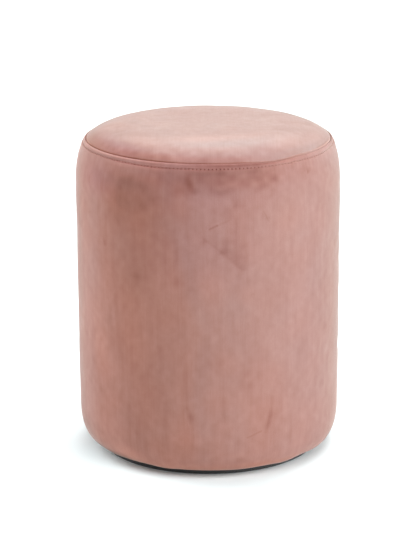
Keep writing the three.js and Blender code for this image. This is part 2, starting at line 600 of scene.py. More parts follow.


# The pile of the side panel, as hands and packing have brushed it, and the light and shade painted on it.

# Painted light and shade along the seam: the crease painted lighter and warmer than its own shading,
# painted highlights on the fold, and painted shade in the fold just under its lip.
SEAM_MARKS = (
    *alike((-8, -0.0018, 28, 0.0030), (36, -0.0018, 12, 0.0030), shade=-0.34, edge=0.6),
    Mark(-76, -0.0018, 14, 0.0030, shade=-0.18, edge=0.6),
    Mark(-44, 0.0014, 44, 0.0016, shade=-0.34, warmth=-0.08, edge=0.8),
    Mark(-36, 0.0046, 40, 0.0020, shade=0.10, edge=0.7),
    Mark(0, -0.0018, 400, 0.0024, shade=-0.05, warmth=0.20, edge=0.6),
    Mark(14, 0.0038, 24, 0.0030, shade=0.24, warmth=0.10, blush=0.03, edge=0.8),
    Mark(20, 0.002, 34, 0.006, warmth=0.05),
    Mark(62, -0.0018, 34, 0.0030, shade=-0.14, edge=0.6),
    Mark(70, 0.0040, 26, 0.0080, shade=-0.12, warmth=-0.06),
    Mark(74, -0.0018, 22, 0.0030, shade=-0.60, warmth=-0.10, edge=0.6),
)

# The fold at the top of the side, and its topstitching: the pile's tone, with painted light and shade
# that evens out the shading of the fold and of the groove of its topstitching.
FOLD_MARKS = (
    *alike((-42, 0.006, 18, 0.008), (64, 0.010, 16, 0.024), warmth=-0.08),
    *alike((-34, 0.0088, 22, 0.0070), (72, 0.008, 22, 0.012), shade=-0.10),
    Mark(-40, 0.0076, 18, 0.0070, shade=-0.09),
    Mark(-34, 0.004, 22, 0.022, warmth=-0.18),
    Mark(-24, 0.0090, 10, 0.0060, shade=-0.06),
    Mark(-6, 0.006, 66, 0.080, blush=0.070),
    Mark(-2, 0.0088, 12, 0.0060, shade=-0.08),
    Mark(20, 0.012, 30, 0.016, shade=0.07),
    Mark(38, 0.005, 9, 0.012, warmth=0.06),
    Mark(80, 0.010, 22, 0.050, shade=0.02, warmth=-0.10),
)

# The shoulder, under the fold: brushed pile, with painted shade under the topstitching and at the far
# left and right, where it dims the sheen.
SHOULDER_MARKS = (
    *alike((-38, 0.052, 14, 0.030), (64, 0.040, 6, 0.050), shade=-0.05),
    *alike((-82, 0.030, 9, 0.040), (26.5, 0.047, 2.5, 0.005), shade=0.10),
    *alike(
        (-50, 0.045, 8, 0.016), (-17, 0.018, 7, 0.014), (48, 0.024, 6, 0.012), (60, 0.023, 4, 0.006),
        shade=0.07,
    ),
    *alike(
        (4, 0.037, 5, 0.008), (7, 0.026, 5, 0.007), (11, 0.0560, 1.7, 0.007), (81, 0.048, 6, 0.034),
        shade=0.08,
    ),
    Mark(-61.8, 0.041, 1.6, 0.010, shade=0.12, warmth=0.04),
    Mark(-56, 0.038, 20, 0.036, blush=0.06),
    Mark(-51.7, 0.045, 1.3, 0.016, shade=0.13, warmth=0.05),
    Mark(-42, 0.030, 24, 0.020, shade=0.15),
    Mark(-33, 0.047, 15, 0.030, shade=0.16, edge=0.6),
    Mark(-30, 0.018, 26, 0.010, warmth=-0.08),
    Mark(-26, 0.055, 40, 0.030, warmth=0.05),
    Mark(-18, 0.048, 8, 0.018, shade=0.05),
    Mark(-12, 0.034, 8, 0.018, shade=0.08, warmth=0.12),
    Mark(-9.5, 0.022, 2.2, 0.010, shade=0.12),
    Mark(-7.5, 0.028, 2.6, 0.020, shade=0.24, warmth=0.10, lean=-14),
    Mark(-6, 0.028, 9, 0.014, shade=-0.07),
    Mark(-5.5, 0.037, 2.4, 0.007, shade=0.14),
    Mark(0, 0.014, 70, 0.030, warmth=0.10),
    Mark(0, 0.013, 16, 0.008, shade=0.09),
    Mark(1.0, 0.016, 4, 0.008, shade=-0.12),
    # Painted shade under the topstitching, over the pile's own darker tone.
    Mark(4, 0.022, 38, 0.030, shade=0.26, warmth=0.12, edge=0.85),
    Mark(10, 0.029, 16, 0.010, shade=-0.09),
    Mark(13, 0.050, 6, 0.012, shade=0.07, lean=24),
    Mark(17, 0.017, 5, 0.006, shade=-0.10),
    Mark(22.5, 0.033, 5, 0.007, shade=0.08, lean=10),
    Mark(29, 0.024, 4.5, 0.010, shade=0.14, lean=10),
    Mark(47, 0.020, 5.5, 0.005, shade=0.09, lean=10),
    Mark(47.8, 0.0235, 1.2, 0.0035, shade=0.26, warmth=0.08),
    Mark(66, 0.030, 10, 0.028, warmth=-0.05),
    Mark(68, 0.018, 14, 0.022, shade=-0.04),
)

# The front, below the shoulder.
FRONT_MARKS = (
    *alike((-50, 0.120, 3, 0.006), (-33, 0.110, 24, 0.100), (25.2, 0.077, 1.6, 0.005), shade=0.10),
    *alike((-47, 0.245, 4, 0.022), (-34, 0.160, 14, 0.060), shade=0.06),
    *alike((-16, 0.180, 5, 0.050), (40, 0.090, 34, 0.060), (40, 0.200, 14, 0.110), shade=-0.04),
    *alike(
        (-50, 0.165, 9, 0.080), (-26, 0.240, 42, 0.330), (-24, 0.070, 34, 0.060), (0, 0.200, 10, 0.130),
        (44, 0.370, 20, 0.060),
        warmth=0.05,
    ),
    *alike(
        (-20, 0.070, 12, 0.050), (-14, 0.160, 2.6, 0.010), (-6.8, 0.370, 1.2, 0.022),
        (5.6, 0.327, 2.4, 0.006), (16, 0.285, 5, 0.009), (19.8, 0.225, 1.4, 0.030),
        (23.0, 0.070, 1.3, 0.004),
        shade=0.08,
    ),
    *alike((2, 0.275, 7, 0.018), (4, 0.270, 22, 0.070), shade=0.04),
    *alike((-10.5, 0.245, 2.0, 0.060), (0, 0.092, 5, 0.016), (14, 0.295, 7, 0.030), shade=0.05),
    *alike((-52, 0.322, 4, 0.012), (-24, 0.245, 6, 0.022), shade=-0.07),
    *alike(
        (-13.4, 0.115, 1.5, 0.026), (5.3, 0.1180, 2.0, 0.004), (9, 0.0700, 2.3, 0.004),
        (11.5, 0.0870, 1.7, 0.015),
        shade=0.07,
    ),
    *alike((-45, 0.340, 10, 0.030), (-15, 0.365, 4, 0.050), (13, 0.115, 7, 0.030), shade=-0.06),
    *alike((8, 0.360, 8, 0.022), (16, 0.178, 6, 0.022), warmth=0.06),
    Mark(-54.5, 0.325, 1.8, 0.020, shade=0.09, lean=-12),
    Mark(-50, 0.290, 12, 0.050, shade=-0.09),
    Mark(-46, 0.121, 6, 0.004, shade=0.05, lean=-4),
    Mark(-44, 0.146, 8, 0.006, shade=0.05, lean=8),
    Mark(-44, 0.384, 14, 0.036, shade=-0.12),
    Mark(-42, 0.066, 9, 0.046, shade=0.13, warmth=0.06),
    Mark(-40, 0.072, 24, 0.040, shade=0.03),
    Mark(-33, 0.160, 17, 0.330, warmth=0.09),
    Mark(-31, 0.157, 6, 0.008, shade=0.10, lean=4),
    Mark(-14, 0.322, 6, 0.026, shade=-0.08),
    Mark(-13, 0.062, 8, 0.040, shade=0.03, warmth=0.10),
    Mark(-9.4, 0.305, 1.3, 0.048, shade=0.10, lean=-3),
    Mark(-8, 0.372, 12, 0.040, shade=-0.11),
    Mark(-7.3, 0.346, 2.2, 0.012, shade=0.14, lean=-20),
    Mark(-6, 0.100, 44, 0.110, blush=0.035),
    Mark(-2, 0.1025, 2.4, 0.006, shade=0.11),
    Mark(2, 0.170, 12, 0.050, shade=-0.05),
    Mark(3, 0.335, 10, 0.130, warmth=0.11),
    Mark(6, 0.063, 9, 0.020, shade=0.09),
    Mark(8, 0.268, 9, 0.036, warmth=0.07),
    Mark(16.6, 0.158, 1.4, 0.014, shade=0.10, lean=-8),
    Mark(18.4, 0.176, 2.0, 0.005, shade=0.10, lean=30),
    Mark(22, 0.340, 18, 0.110, warmth=0.12),
    Mark(25.6, 0.363, 1.5, 0.008, shade=0.10, lean=16),
    Mark(26.6, 0.350, 1.6, 0.020, shade=0.11, lean=8),
)

# The flanks, to the left and the right of the front, with painted shade towards the far left and
# right edges, which dims the sheen where the cloth turns away.
FLANK_MARKS = (
    *alike((-66, 0.080, 4, 0.026), (61, 0.246, 5, 0.007), shade=0.07),
    *alike((-68, 0.150, 4, 0.020), (80, 0.155, 5, 0.040), shade=0.05),
    *alike((-64, 0.240, 9, 0.080), (57, 0.130, 6, 0.065), shade=-0.05),
    *alike((-82, 0.320, 8, 0.080), (-80, 0.200, 9, 0.400), (81, 0.080, 9, 0.110), shade=0.09),
    *alike(
        (-72, 0.230, 6, 0.080), (-58, 0.250, 14, 0.070), (64, 0.270, 6, 0.040), (72, 0.180, 8, 0.110),
        shade=-0.06,
    ),
    # Painted shade towards the far left edge, which dims the sheen.
    Mark(-74, 0.220, 10, 0.260, shade=0.12),
    Mark(-72, 0.250, 22, 0.270, warmth=0.07),
    Mark(-64, 0.080, 22, 0.100, shade=0.06, warmth=0.12),
    Mark(-60, 0.250, 3, 0.020, shade=0.04),
    Mark(-56, 0.300, 9, 0.150, warmth=0.06),
    Mark(62, 0.200, 48, 0.420, warmth=-0.11),
    Mark(66, 0.330, 9, 0.030, shade=-0.04),
    # Painted shade towards the far right edge, which dims the sheen.
    Mark(74, 0.200, 26, 0.500, blush=-0.035),
    Mark(78, 0.200, 14, 0.300, shade=0.10),
    Mark(80, 0.250, 14, 0.300, shade=0.04, warmth=-0.03),
    Mark(104, 0.200, 32, 0.420, shade=0.07, blush=-0.02),
)

# The lower corner, where the panel turns in under the pouf: painted light along the lower rim, where
# the floor lights it, and painted shade on the lower left rim beside the shadow on the floor.
FOOT_MARKS = (
    *alike((-44, 0.404, 20, 0.014), (-5, 0.400, 66, 0.018), shade=-0.07),
    *alike((-4, 0.396, 26, 0.022), (31, 0.398, 4, 0.016), shade=0.06),
    *alike((-24, 0.390, 7, 0.022), (12, 0.404, 10, 0.016), (31, 0.408, 7, 0.014), warmth=0.06),
    # Painted shade on the lower left rim, beside the shadow on the floor.
    Mark(-68, 0.425, 15, 0.010, shade=0.34),
    Mark(-68, 0.405, 22, 0.034, shade=0.22, warmth=0.06),
    Mark(-66, 0.424, 26, 0.012, shade=0.30),
    Mark(-60, 0.426, 30, 0.012, shade=0.30, warmth=0.10),
    Mark(-60, 0.400, 14, 0.014, shade=-0.10),
    Mark(-48, 0.426, 26, 0.014, shade=0.28),
    Mark(-40, 0.412, 16, 0.018, shade=-0.16),
    Mark(-35, 0.420, 8, 0.010, shade=-0.08),
    Mark(-4, 0.392, 34, 0.030, warmth=0.07),
    # Painted light along the lower rim, where the floor lights it.
    Mark(0, 0.430, 100, 0.036, shade=-0.25, warmth=0.06, edge=0.9),
    Mark(6, 0.412, 50, 0.012, shade=0.08),
    Mark(13.6, 0.408, 3.0, 0.010, shade=0.12),
    Mark(14, 0.418, 30, 0.014, warmth=0.10),
    Mark(28, 0.426, 56, 0.014, shade=0.10, warmth=0.16),
    Mark(36, 0.424, 26, 0.008, warmth=0.08),
    Mark(44, 0.400, 14, 0.014, shade=-0.06),
)

SIDE_NAP_AND_PAINTED_LIGHT = NapAndPaintedLight(
    places=(
        Band(
            left=((0.0, -50), (0.080, -52), (0.300, -57), (0.430, -61)),
            right=(
                (0.020, -20),
                (0.050, -19),
                (0.100, -15),
                (0.175, -9),
                (0.230, -3),
                (0.320, -8),
                (0.430, -3),
            ),
            soft=(16, 9),
            shade=0.03,
            warmth=0.17,
        ),
        *SEAM_MARKS,
        *FOLD_MARKS,
        *SHOULDER_MARKS,
        *FRONT_MARKS,
        *FLANK_MARKS,
        *FOOT_MARKS,
        Patch(((-2, 0.102), (8, 0.098), (16.5, 0.104), (16.3, 0.144), (13.2, 0.140)), 0.010, shade=0.07),
        Patch(((4.5, 0.114), (16.5, 0.108), (16.3, 0.144), (13.4, 0.141)), 0.006, shade=0.07),
        Patch(((9.5, 0.052), (15.6, 0.052), (16.4, 0.112), (6.5, 0.106)), 0.012, shade=0.04, warmth=0.02),
        Mottle(
            Mark(14, 0.026, 46, 0.030),
            Ripples(seed=32, count=44, turns=(20, 60), lengths=(0.012, 0.036), height=0.035),
            shade=1.0,
            blush=0.06,
        ),
        StitchShade(
            line=(
                Bulge(-40, 34, 0.34),
                Bulge(-20, 14, 0.10),
                Bulge(38, 20, -0.14),
                Bulge(74, 20, -0.36),
                Bulge(-80, 12, -0.2),
                Bulge(-54, 16, -0.12),
            ),
            holes=(Bulge(5, 24, 0.62), Bulge(36, 24, 0.16), Bulge(-170, 120, 0.20)),
            shade=1.0,
            warmth=0.5,
            blush=0.30,
        ),
        Pleats(Mark(44, 0.013, 34, 0.014), turns=158, shade=0.035),
        Pleats(Mark(-38, 0.010, 30, 0.008), turns=116, shade=0.02),
    ),
    clouds=(
        Ripples(seed=11, count=36, turns=(0, 18), lengths=(0.050, 0.400), height=0.018),
        Ripples(seed=12, count=60, turns=(10, 60), lengths=(0.012, 0.050), height=0.016),
        Ripples(seed=13, count=40, turns=(24, 90), lengths=(0.100, 0.500), height=0.016),
    ),
    warm_clouds=Ripples(seed=14, count=30, turns=(2, 20), lengths=(0.040, 0.300), height=0.012),
    warmth=0.04,
)

# The pile of the top panel, as sitting and smoothing have brushed it, and the light and shade painted on
# it.

# The rim of the top, along the seam: its wall in the crease painted lighter and warmer than its own
# shading, painted shade on its rounded edge at the right, and painted shade towards the back that dims
# the sheen.
RIM_MARKS = (
    *alike((-122, -0.006, 34, 0.026), (-46, -0.010, 22, 0.026), shade=0.12, warmth=0.04),
    *alike((-45, -0.011, 10, 0.011), (80, -0.012, 18, 0.030), shade=-0.07),
    Mark(-120, -0.012, 16, 0.013, shade=0.12),
    Mark(-112, -0.012, 32, 0.024, shade=0.07),
    Mark(-81, 0.0, 10, 0.0026, shade=-0.40, edge=0.6),
    Mark(-76, 0.0, 14, 0.0026, shade=-0.18, edge=0.6),
    Mark(-72, -0.004, 34, 0.022, shade=0.30, warmth=0.18),
    Mark(-64, -0.002, 40, 0.016, warmth=0.18),
    Mark(-46, -0.008, 24, 0.024, blush=0.07),
    Mark(-30, -0.002, 34, 0.016, shade=0.12, warmth=0.14),
    Mark(-26, -0.012, 84, 0.028, warmth=0.08),
    Mark(-24, -0.003, 36, 0.016, shade=0.15, warmth=0.13),
    Mark(-14, -0.005, 52, 0.010, warmth=0.09),
    Mark(-10, -0.006, 9, 0.009, shade=-0.09),
    Mark(-8, -0.004, 84, 0.034, blush=0.055),
    Mark(-8, -0.004, 60, 0.014, blush=0.03),
    Mark(0, 0.0, 400, 0.0026, shade=0.02, warmth=0.30, edge=0.6),
    Mark(0, -0.012, 12, 0.018, shade=0.09, warmth=0.05),
    Mark(10, -0.002, 30, 0.013, shade=0.10, warmth=0.14),
    Mark(42, -0.0045, 15, 0.0060, warmth=0.10),
    Mark(44, 0.0, 10, 0.0026, shade=-0.16, edge=0.6),
    Mark(44, -0.006, 22, 0.014, shade=0.09),
    Mark(48, -0.003, 22, 0.012, warmth=-0.12),
    Mark(50, -0.003, 20, 0.012, shade=0.04, warmth=0.06),
    Mark(60, -0.006, 18, 0.016, warmth=-0.10),
    Mark(62, -0.010, 18, 0.020, shade=-0.16),
    Mark(70, -0.0065, 26, 0.0060, shade=0.10),
    Mark(71, -0.0022, 18, 0.0018, shade=0.22, warmth=0.10, edge=0.7),
    Mark(72, 0.0, 40, 0.0026, shade=-0.62, warmth=-0.26, edge=0.6),
    Mark(79, 0.0, 16, 0.0026, shade=-0.32, warmth=-0.12, edge=0.6),
    Mark(104, -0.004, 24, 0.007, warmth=-0.06),
)

# Where the crown of the top rolls off to its rim, with painted shade towards the back that dims the sheen.
ROLL_OFF_MARKS = (
    *alike(
        (-98, -0.014, 34, 0.026), (0, -0.026, 400, 0.052), (62, -0.014, 14, 0.018),
        (118, -0.016, 16, 0.020),
        shade=0.05,
    ),
    *alike((-118, -0.014, 22, 0.024), (128, -0.022, 34, 0.028), (136, -0.022, 26, 0.030), shade=0.08),
    *alike(
        (-114, -0.014, 30, 0.028), (60, -0.018, 12, 0.016), (142, -0.026, 26, 0.022),
        (180, -0.028, 70, 0.040),
        shade=0.09,
    ),
    Mark(-67, -0.015, 20, 0.023, shade=0.03, warmth=0.05, blush=0.05),
    Mark(-36, -0.024, 12, 0.012, shade=0.05, warmth=0.05),
    Mark(-18, -0.020, 26, 0.024, shade=-0.08),
    Mark(8, -0.026, 20, 0.014, warmth=0.06),
    Mark(30, -0.017, 16, 0.018, shade=0.09, warmth=0.05, blush=0.02),
    Mark(50, -0.016, 12, 0.013, shade=0.07),
    Mark(52, -0.016, 52, 0.036, shade=-0.10),
    Mark(52, -0.028, 32, 0.034, shade=-0.22),
    Mark(58, -0.020, 18, 0.026, shade=0.04),
    Mark(116, -0.016, 28, 0.026, shade=0.10),
    Mark(122, -0.022, 24, 0.028, shade=0.24, warmth=0.10),
    Mark(122, -0.016, 12, 0.010, shade=0.06),
    Mark(150, -0.025, 16, 0.014, shade=0.13),
)

# The crown of the top, with painted shade towards the back that dims the sheen.
CROWN_MARKS = (
    *alike((-74, -0.082, 10, 0.016), (146, -0.030, 26, 0.020), shade=0.06),
    *alike((30, -0.150, 60, 0.020), (152, -0.030, 20, 0.020), shade=0.05),
    *alike((12, -0.052, 28, 0.022), (18, -0.048, 34, 0.026), (180, -0.032, 50, 0.032), shade=0.07),
    Mark(-94, -0.066, 15, 0.022, shade=0.08),
    Mark(-90, -0.100, 9, 0.022, shade=0.10),
    Mark(-84, -0.040, 22, 0.050, warmth=0.10),
    Mark(-48, -0.030, 30, 0.024, shade=-0.06),
    Mark(-40, -0.036, 26, 0.024, shade=-0.15),
    Mark(0, -0.038, 30, 0.024, warmth=-0.08),
    Mark(8, -0.046, 64, 0.046, shade=-0.40, warmth=-0.05, edge=0.9),
    Mark(26, -0.036, 62, 0.030, warmth=-0.09),
    Mark(88, -0.046, 16, 0.022, shade=-0.07),
    Mark(136, -0.036, 15, 0.012, shade=0.09),
    Mark(180, -0.036, 88, 0.042, shade=0.13),
)

TOP_NAP_AND_PAINTED_LIGHT = NapAndPaintedLight(
    places=(
        *RIM_MARKS,
        *ROLL_OFF_MARKS,
        *CROWN_MARKS,
        Mottle(
            Mark(-16, -0.014, 84, 0.026),
            Ripples(seed=31, count=44, turns=(18, 60), lengths=(0.012, 0.040), height=0.041),
            shade=1.0,
            blush=0.06,
        ),
    ),
    clouds=(
        Ripples(seed=21, count=30, turns=(0, 7), lengths=(0.040, 0.200), height=0.014),
        Ripples(seed=22, count=50, turns=(6, 26), lengths=(0.014, 0.050), height=0.018),
    ),
    warm_clouds=Ripples(seed=24, count=20, turns=(1, 8), lengths=(0.040, 0.200), height=0.010),
    # The whole top is painted lighter and cooler than the side: painted light on the upturned panel.
    shade=-0.13,
    warmth=-0.21,
    blush=-0.045,
)


@dataclass
class Ring:
    """A closed ring of points round the pouf, or a pole where it has only one."""

    points: np.ndarray
    below: np.ndarray
    azimuth: np.ndarray


def round_azimuths(columns: int) -> np.ndarray:
    """Even azimuths once round the pouf, from the back."""
    return BACK + np.linspace(0, TURN, columns + 1)[:-1]


def around(
    radius: np.ndarray | float, level: np.ndarray | float, azimuth: np.ndarray, below: np.ndarray | float
) -> Ring:
    """A ring from its radii and levels."""
    points = np.stack([radius * np.sin(azimuth), -radius * np.cos(azimuth), level + 0 * azimuth], 1)
    return Ring(points, np.broadcast_to(below, azimuth.shape), azimuth)


@dataclass
class Skin:
    """A closed skin laid over rings of points, from a lower pole to an upper one.

    Neighbouring rings have the same number of points, or one has a whole multiple of the other.
    The map is in metres of cloth, and it is flat where the cloth is a disc.
    """

    name: str
    flat_map: bool = False
    rings: list[Ring] = field(default_factory=list)

    def add(self, ring: Ring) -> None:
        """Lays the next ring."""
        self.rings.append(ring)

    def pole(self, level: float, below: float) -> None:
        """Closes the skin at a point on the axis."""
        self.add(Ring(np.array([[0.0, 0.0, level]]), np.array([below]), np.array([BACK])))

    def face(self, lower: int, upper: int, k: int) -> list[tuple[int, int]]:
        """The corners of the k-th face between two rings, as (ring, place) pairs.

        Args:
            lower: The number of the lower ring.
            upper: The number of the upper ring.
            k: The number of the face, round the pouf.

        Returns:
            Its corners in order. A place may be one past the last, which is the first again.
        """
        low = len(self.rings[lower].points)
        high = len(self.rings[upper].points)
        if low == 1:
            return [(lower, 0), (upper, k + 1), (upper, k)]
        if high == 1:
            return [(lower, k), (lower, k + 1), (upper, 0)]
        steps = min(low, high)
        foot = [(lower, j) for j in range(k * low // steps, (k + 1) * low // steps + 1)]
        head = [(upper, j) for j in range(k * high // steps, (k + 1) * high // steps + 1)]
        return foot + head[::-1]

    def on_map(self, ring: int, place: int, radius: float) -> tuple[float, float]:
        """The place of one corner on the map.

        Args:
            ring: The number of its ring.
            place: Its place on the ring, one past the last where it closes the round.
            radius: The radius at which the map has its true width round the pouf.

        Returns:
            How far it is across the map and up it.
        """
        here = self.rings[ring]
        count = len(here.points)
        if self.flat_map:
            x, y, _ = here.points[place % count]
            return float(x), float(y)
        if count == 1:
            azimuth = 0.0
        elif place == count:
            azimuth = TURN
        else:
            azimuth = here.azimuth[place] - BACK
        return float(azimuth * radius), float(-here.below[place % count])

    def build(self, radius: float) -> bpy.types.Object:
        """Makes the mesh, with its map.

        Args:
            radius: The radius at which the map has its true width round the pouf.

        Returns:
            The new object, linked to the scene.
        """
        starts = np.cumsum([0] + [len(ring.points) for ring in self.rings])
        faces: list[list[int]] = []
        corners: list[tuple[float, float]] = []
        for lower in range(len(self.rings) - 1):
            upper = lower + 1
            counts = sorted({len(self.rings[lower].points), len(self.rings[upper].points)} - {1})
            for k in range(counts[0]):
                face = self.face(lower, upper, k)
                faces.append([
                    int(starts[ring] + place % len(self.rings[ring].points)) for ring, place in face
                ])
                corners.extend(self.on_map(ring, place, radius) for ring, place in face)
        mesh = bpy.data.meshes.new(self.name)
        mesh.from_pydata(self.points().tolist(), [], faces)
        layer = mesh.uv_layers.new(name=CLOTH_UV)
        layer.data.foreach_set("uv", np.array(corners, np.float32).ravel())
        mesh.polygons.foreach_set("use_smooth", np.ones(len(mesh.polygons), bool))
        mesh.update()
        return link(self.name, mesh)

    def points(self) -> np.ndarray:
        """The points, in the mesh's order."""
        return np.concatenate([ring.points for ring in self.rings])

    def spots(self) -> Spots:
        """Where the points lie on the cloth.

        Returns:
            The spots, in the mesh's order.
        """
        points = self.points()
        return Spots(
            np.concatenate([ring.azimuth for ring in self.rings]),
            np.concatenate([ring.below for ring in self.rings]),
            np.hypot(points[:, 0], points[:, 1]),
        )


@dataclass(frozen=True)
class Slack:
    """How far the cloth stands off its even form, over a grid of azimuths and lengths of cloth."""

    belows: np.ndarray
    heights: np.ndarray

    def at(self, azimuth: np.ndarray, below: np.ndarray | float) -> np.ndarray:
        """The height at each place, between the places of the grid.

        Args:
            azimuth: The azimuths, in radians.
            below: The lengths of cloth, as the grid counts them.

        Returns:
            The heights.
        """
        rows, columns = self.heights.shape
        across = np.mod(azimuth - BACK, TURN) / TURN * columns
        down = np.interp(below, self.belows, np.arange(rows))
        column, row = np.floor(across).astype(int), np.clip(np.floor(down).astype(int), 0, rows - 2)
        x, y = across - column, down - row
        left, right = column % columns, (column + 1) % columns
        upper = self.heights[row, left] * (1 - x) + self.heights[row, right] * x
        lower = self.heights[row + 1, left] * (1 - x) + self.heights[row + 1, right] * x
        return upper * (1 - y) + lower * y


# How the velvet behaves while its cover settles.
COVER_CLOTH = {
    "quality": 5,
    "mass": 0.3,
    "tension_stiffness": 25,
    "compression_stiffness": 25,
    "shear_stiffness": 10,
    "bending_stiffness": 0.5,
    "air_damping": 5,
    "pin_stiffness": 1,
    "use_pressure": True,
    "shrink_min": 0,
}


@dataclass
class StuffedDrum:
    """The cover as limp cloth over its filling, let swell until it settles.

    The cover is held at its seam and along its lower edge, and the filling pushes it out. The
    cloth was cut and pulled unevenly, so it settles unevenly. Only that unevenness is kept, because
    the even part of the swelling is in the profile already.
    """

    profile: CoverProfile
    columns: int = 128
    cell: float = 9 * MM
    floor_shares: tuple[float, ...] = (0.3, 0.6, 0.9)
    pressure: float = 8.0
    hold: float = 0.06
    shrinkage: float = 0.008
    last_frame: int = 20
    limit: float = 1.0 * MM
    side_gain: float = 0.45
    top_gain: float = 0.15
    near: float = 0.001 * MM
    cut: Ripples = Ripples(seed=7, count=40, turns=(1, 14), lengths=(0.09, 0.6), height=0.5)

    def settle(self) -> tuple[Slack, Slack]:
        """Lets the cover settle.

        Returns:
            The unevenness of the side, and of the top with lengths counted in from the seam.
        """
        profile = self.profile
        side = np.linspace(0, profile.length, round(profile.length / self.cell) + 1)
        top = np.linspace(0, profile.seam[0], round(profile.seam[0] / self.cell) + 1)[:-1]
        skin = self.cover(side, top)
        drum = skin.build(profile.radius)
        moved = self.simulate(drum, skin.spots()) - skin.points()
        normals = np.array([vertex.normal for vertex in drum.data.vertices])
        bpy.data.objects.remove(drum)
        heights = (moved * normals).sum(1)[1:-1].reshape(-1, self.columns)
        # The rings rise from the floor to the seam, and the seam's own ring starts the top.
        seam = len(self.floor_shares) + len(side) - 1
        on_side = heights[len(self.floor_shares) : seam + 1][::-1]
        return self.uneven(side, on_side, self.side_gain), self.uneven(top, heights[seam:], self.top_gain)

    def cover(self, side: np.ndarray, top: np.ndarray) -> Skin:
        """The even cover, with rings at the given lengths below the seam and in from it.

        Args:
            side: How far below the seam the rings of the side lie.
            top: How far in from the seam the rings of the top lie, from the seam's own ring on.

        Returns:
            The skin, from the middle of the floor up to the middle of the top.
        """
        profile = self.profile
        skin = Skin("stuffed_drum")
        azimuth = round_azimuths(self.columns)
        skin.pole(profile.floor, profile.length + profile.edge_radius)
        for share in self.floor_shares:
            skin.add(around(share * profile.edge_radius, profile.floor, azimuth, profile.length))
        for below in side[::-1]:
            radius, level = profile.at(below)
            skin.add(around(radius, level, azimuth, below))
        for inset in top[1:]:
            radius = profile.seam[0] - inset
            skin.add(around(radius, profile.crown(radius), azimuth, -inset))
        skin.pole(profile.crown(0.0), -profile.seam[0])
        return skin

    def simulate(self, drum: bpy.types.Object, spots: Spots) -> np.ndarray:
        """Runs the cloth and gives the points where it settles.

        Args:
            drum: The even cover.
            spots: Where its points lie on the cloth.

        Returns:
            The settled points, in the mesh's order.
        """
        held = drum.vertex_groups.new(name="held")
        loose = drum.vertex_groups.new(name="loose")
        looseness = np.clip(0.5 + self.cut.at(spots.azimuth, spots.below), 0, 1)
        fixed = (spots.below >= self.profile.length - self.near) | (np.abs(spots.below) < self.near)
        for index, is_fixed in enumerate(fixed):
            held.add([index], 1.0 if is_fixed else self.hold, "REPLACE")
            loose.add([index], float(looseness[index]), "REPLACE")
        modifier = drum.modifiers.new("cover", "CLOTH")
        modifier.point_cache.frame_end = self.last_frame
        cloth = modifier.settings
        for name, value in COVER_CLOTH.items():
            setattr(cloth, name, value)
        cloth.vertex_group_mass = held.name
        cloth.vertex_group_shrink = loose.name
        cloth.uniform_pressure_force = self.pressure
        cloth.shrink_max = self.shrinkage
        cloth.effector_weights.gravity = 0
        for frame in range(1, self.last_frame + 1):
            bpy.context.scene.frame_set(frame)
        settled = drum.evaluated_get(bpy.context.evaluated_depsgraph_get())
        points = np.array([vertex.co for vertex in settled.data.vertices])
        drum.modifiers.remove(modifier)
        bpy.context.scene.frame_set(1)
        return points

    def uneven(self, belows: np.ndarray, rings: np.ndarray, gain: float) -> Slack:
        """Keeps what differs round each ring, and caps it."""
        heights = (rings - rings.mean(1, keepdims=True)) * gain
        LOG.info("settled cover: swell %.2f mm, uneven %.2f mm", rings.mean() / MM, heights.std() / MM)
        return Slack(belows, self.limit * np.tanh(heights / self.limit))


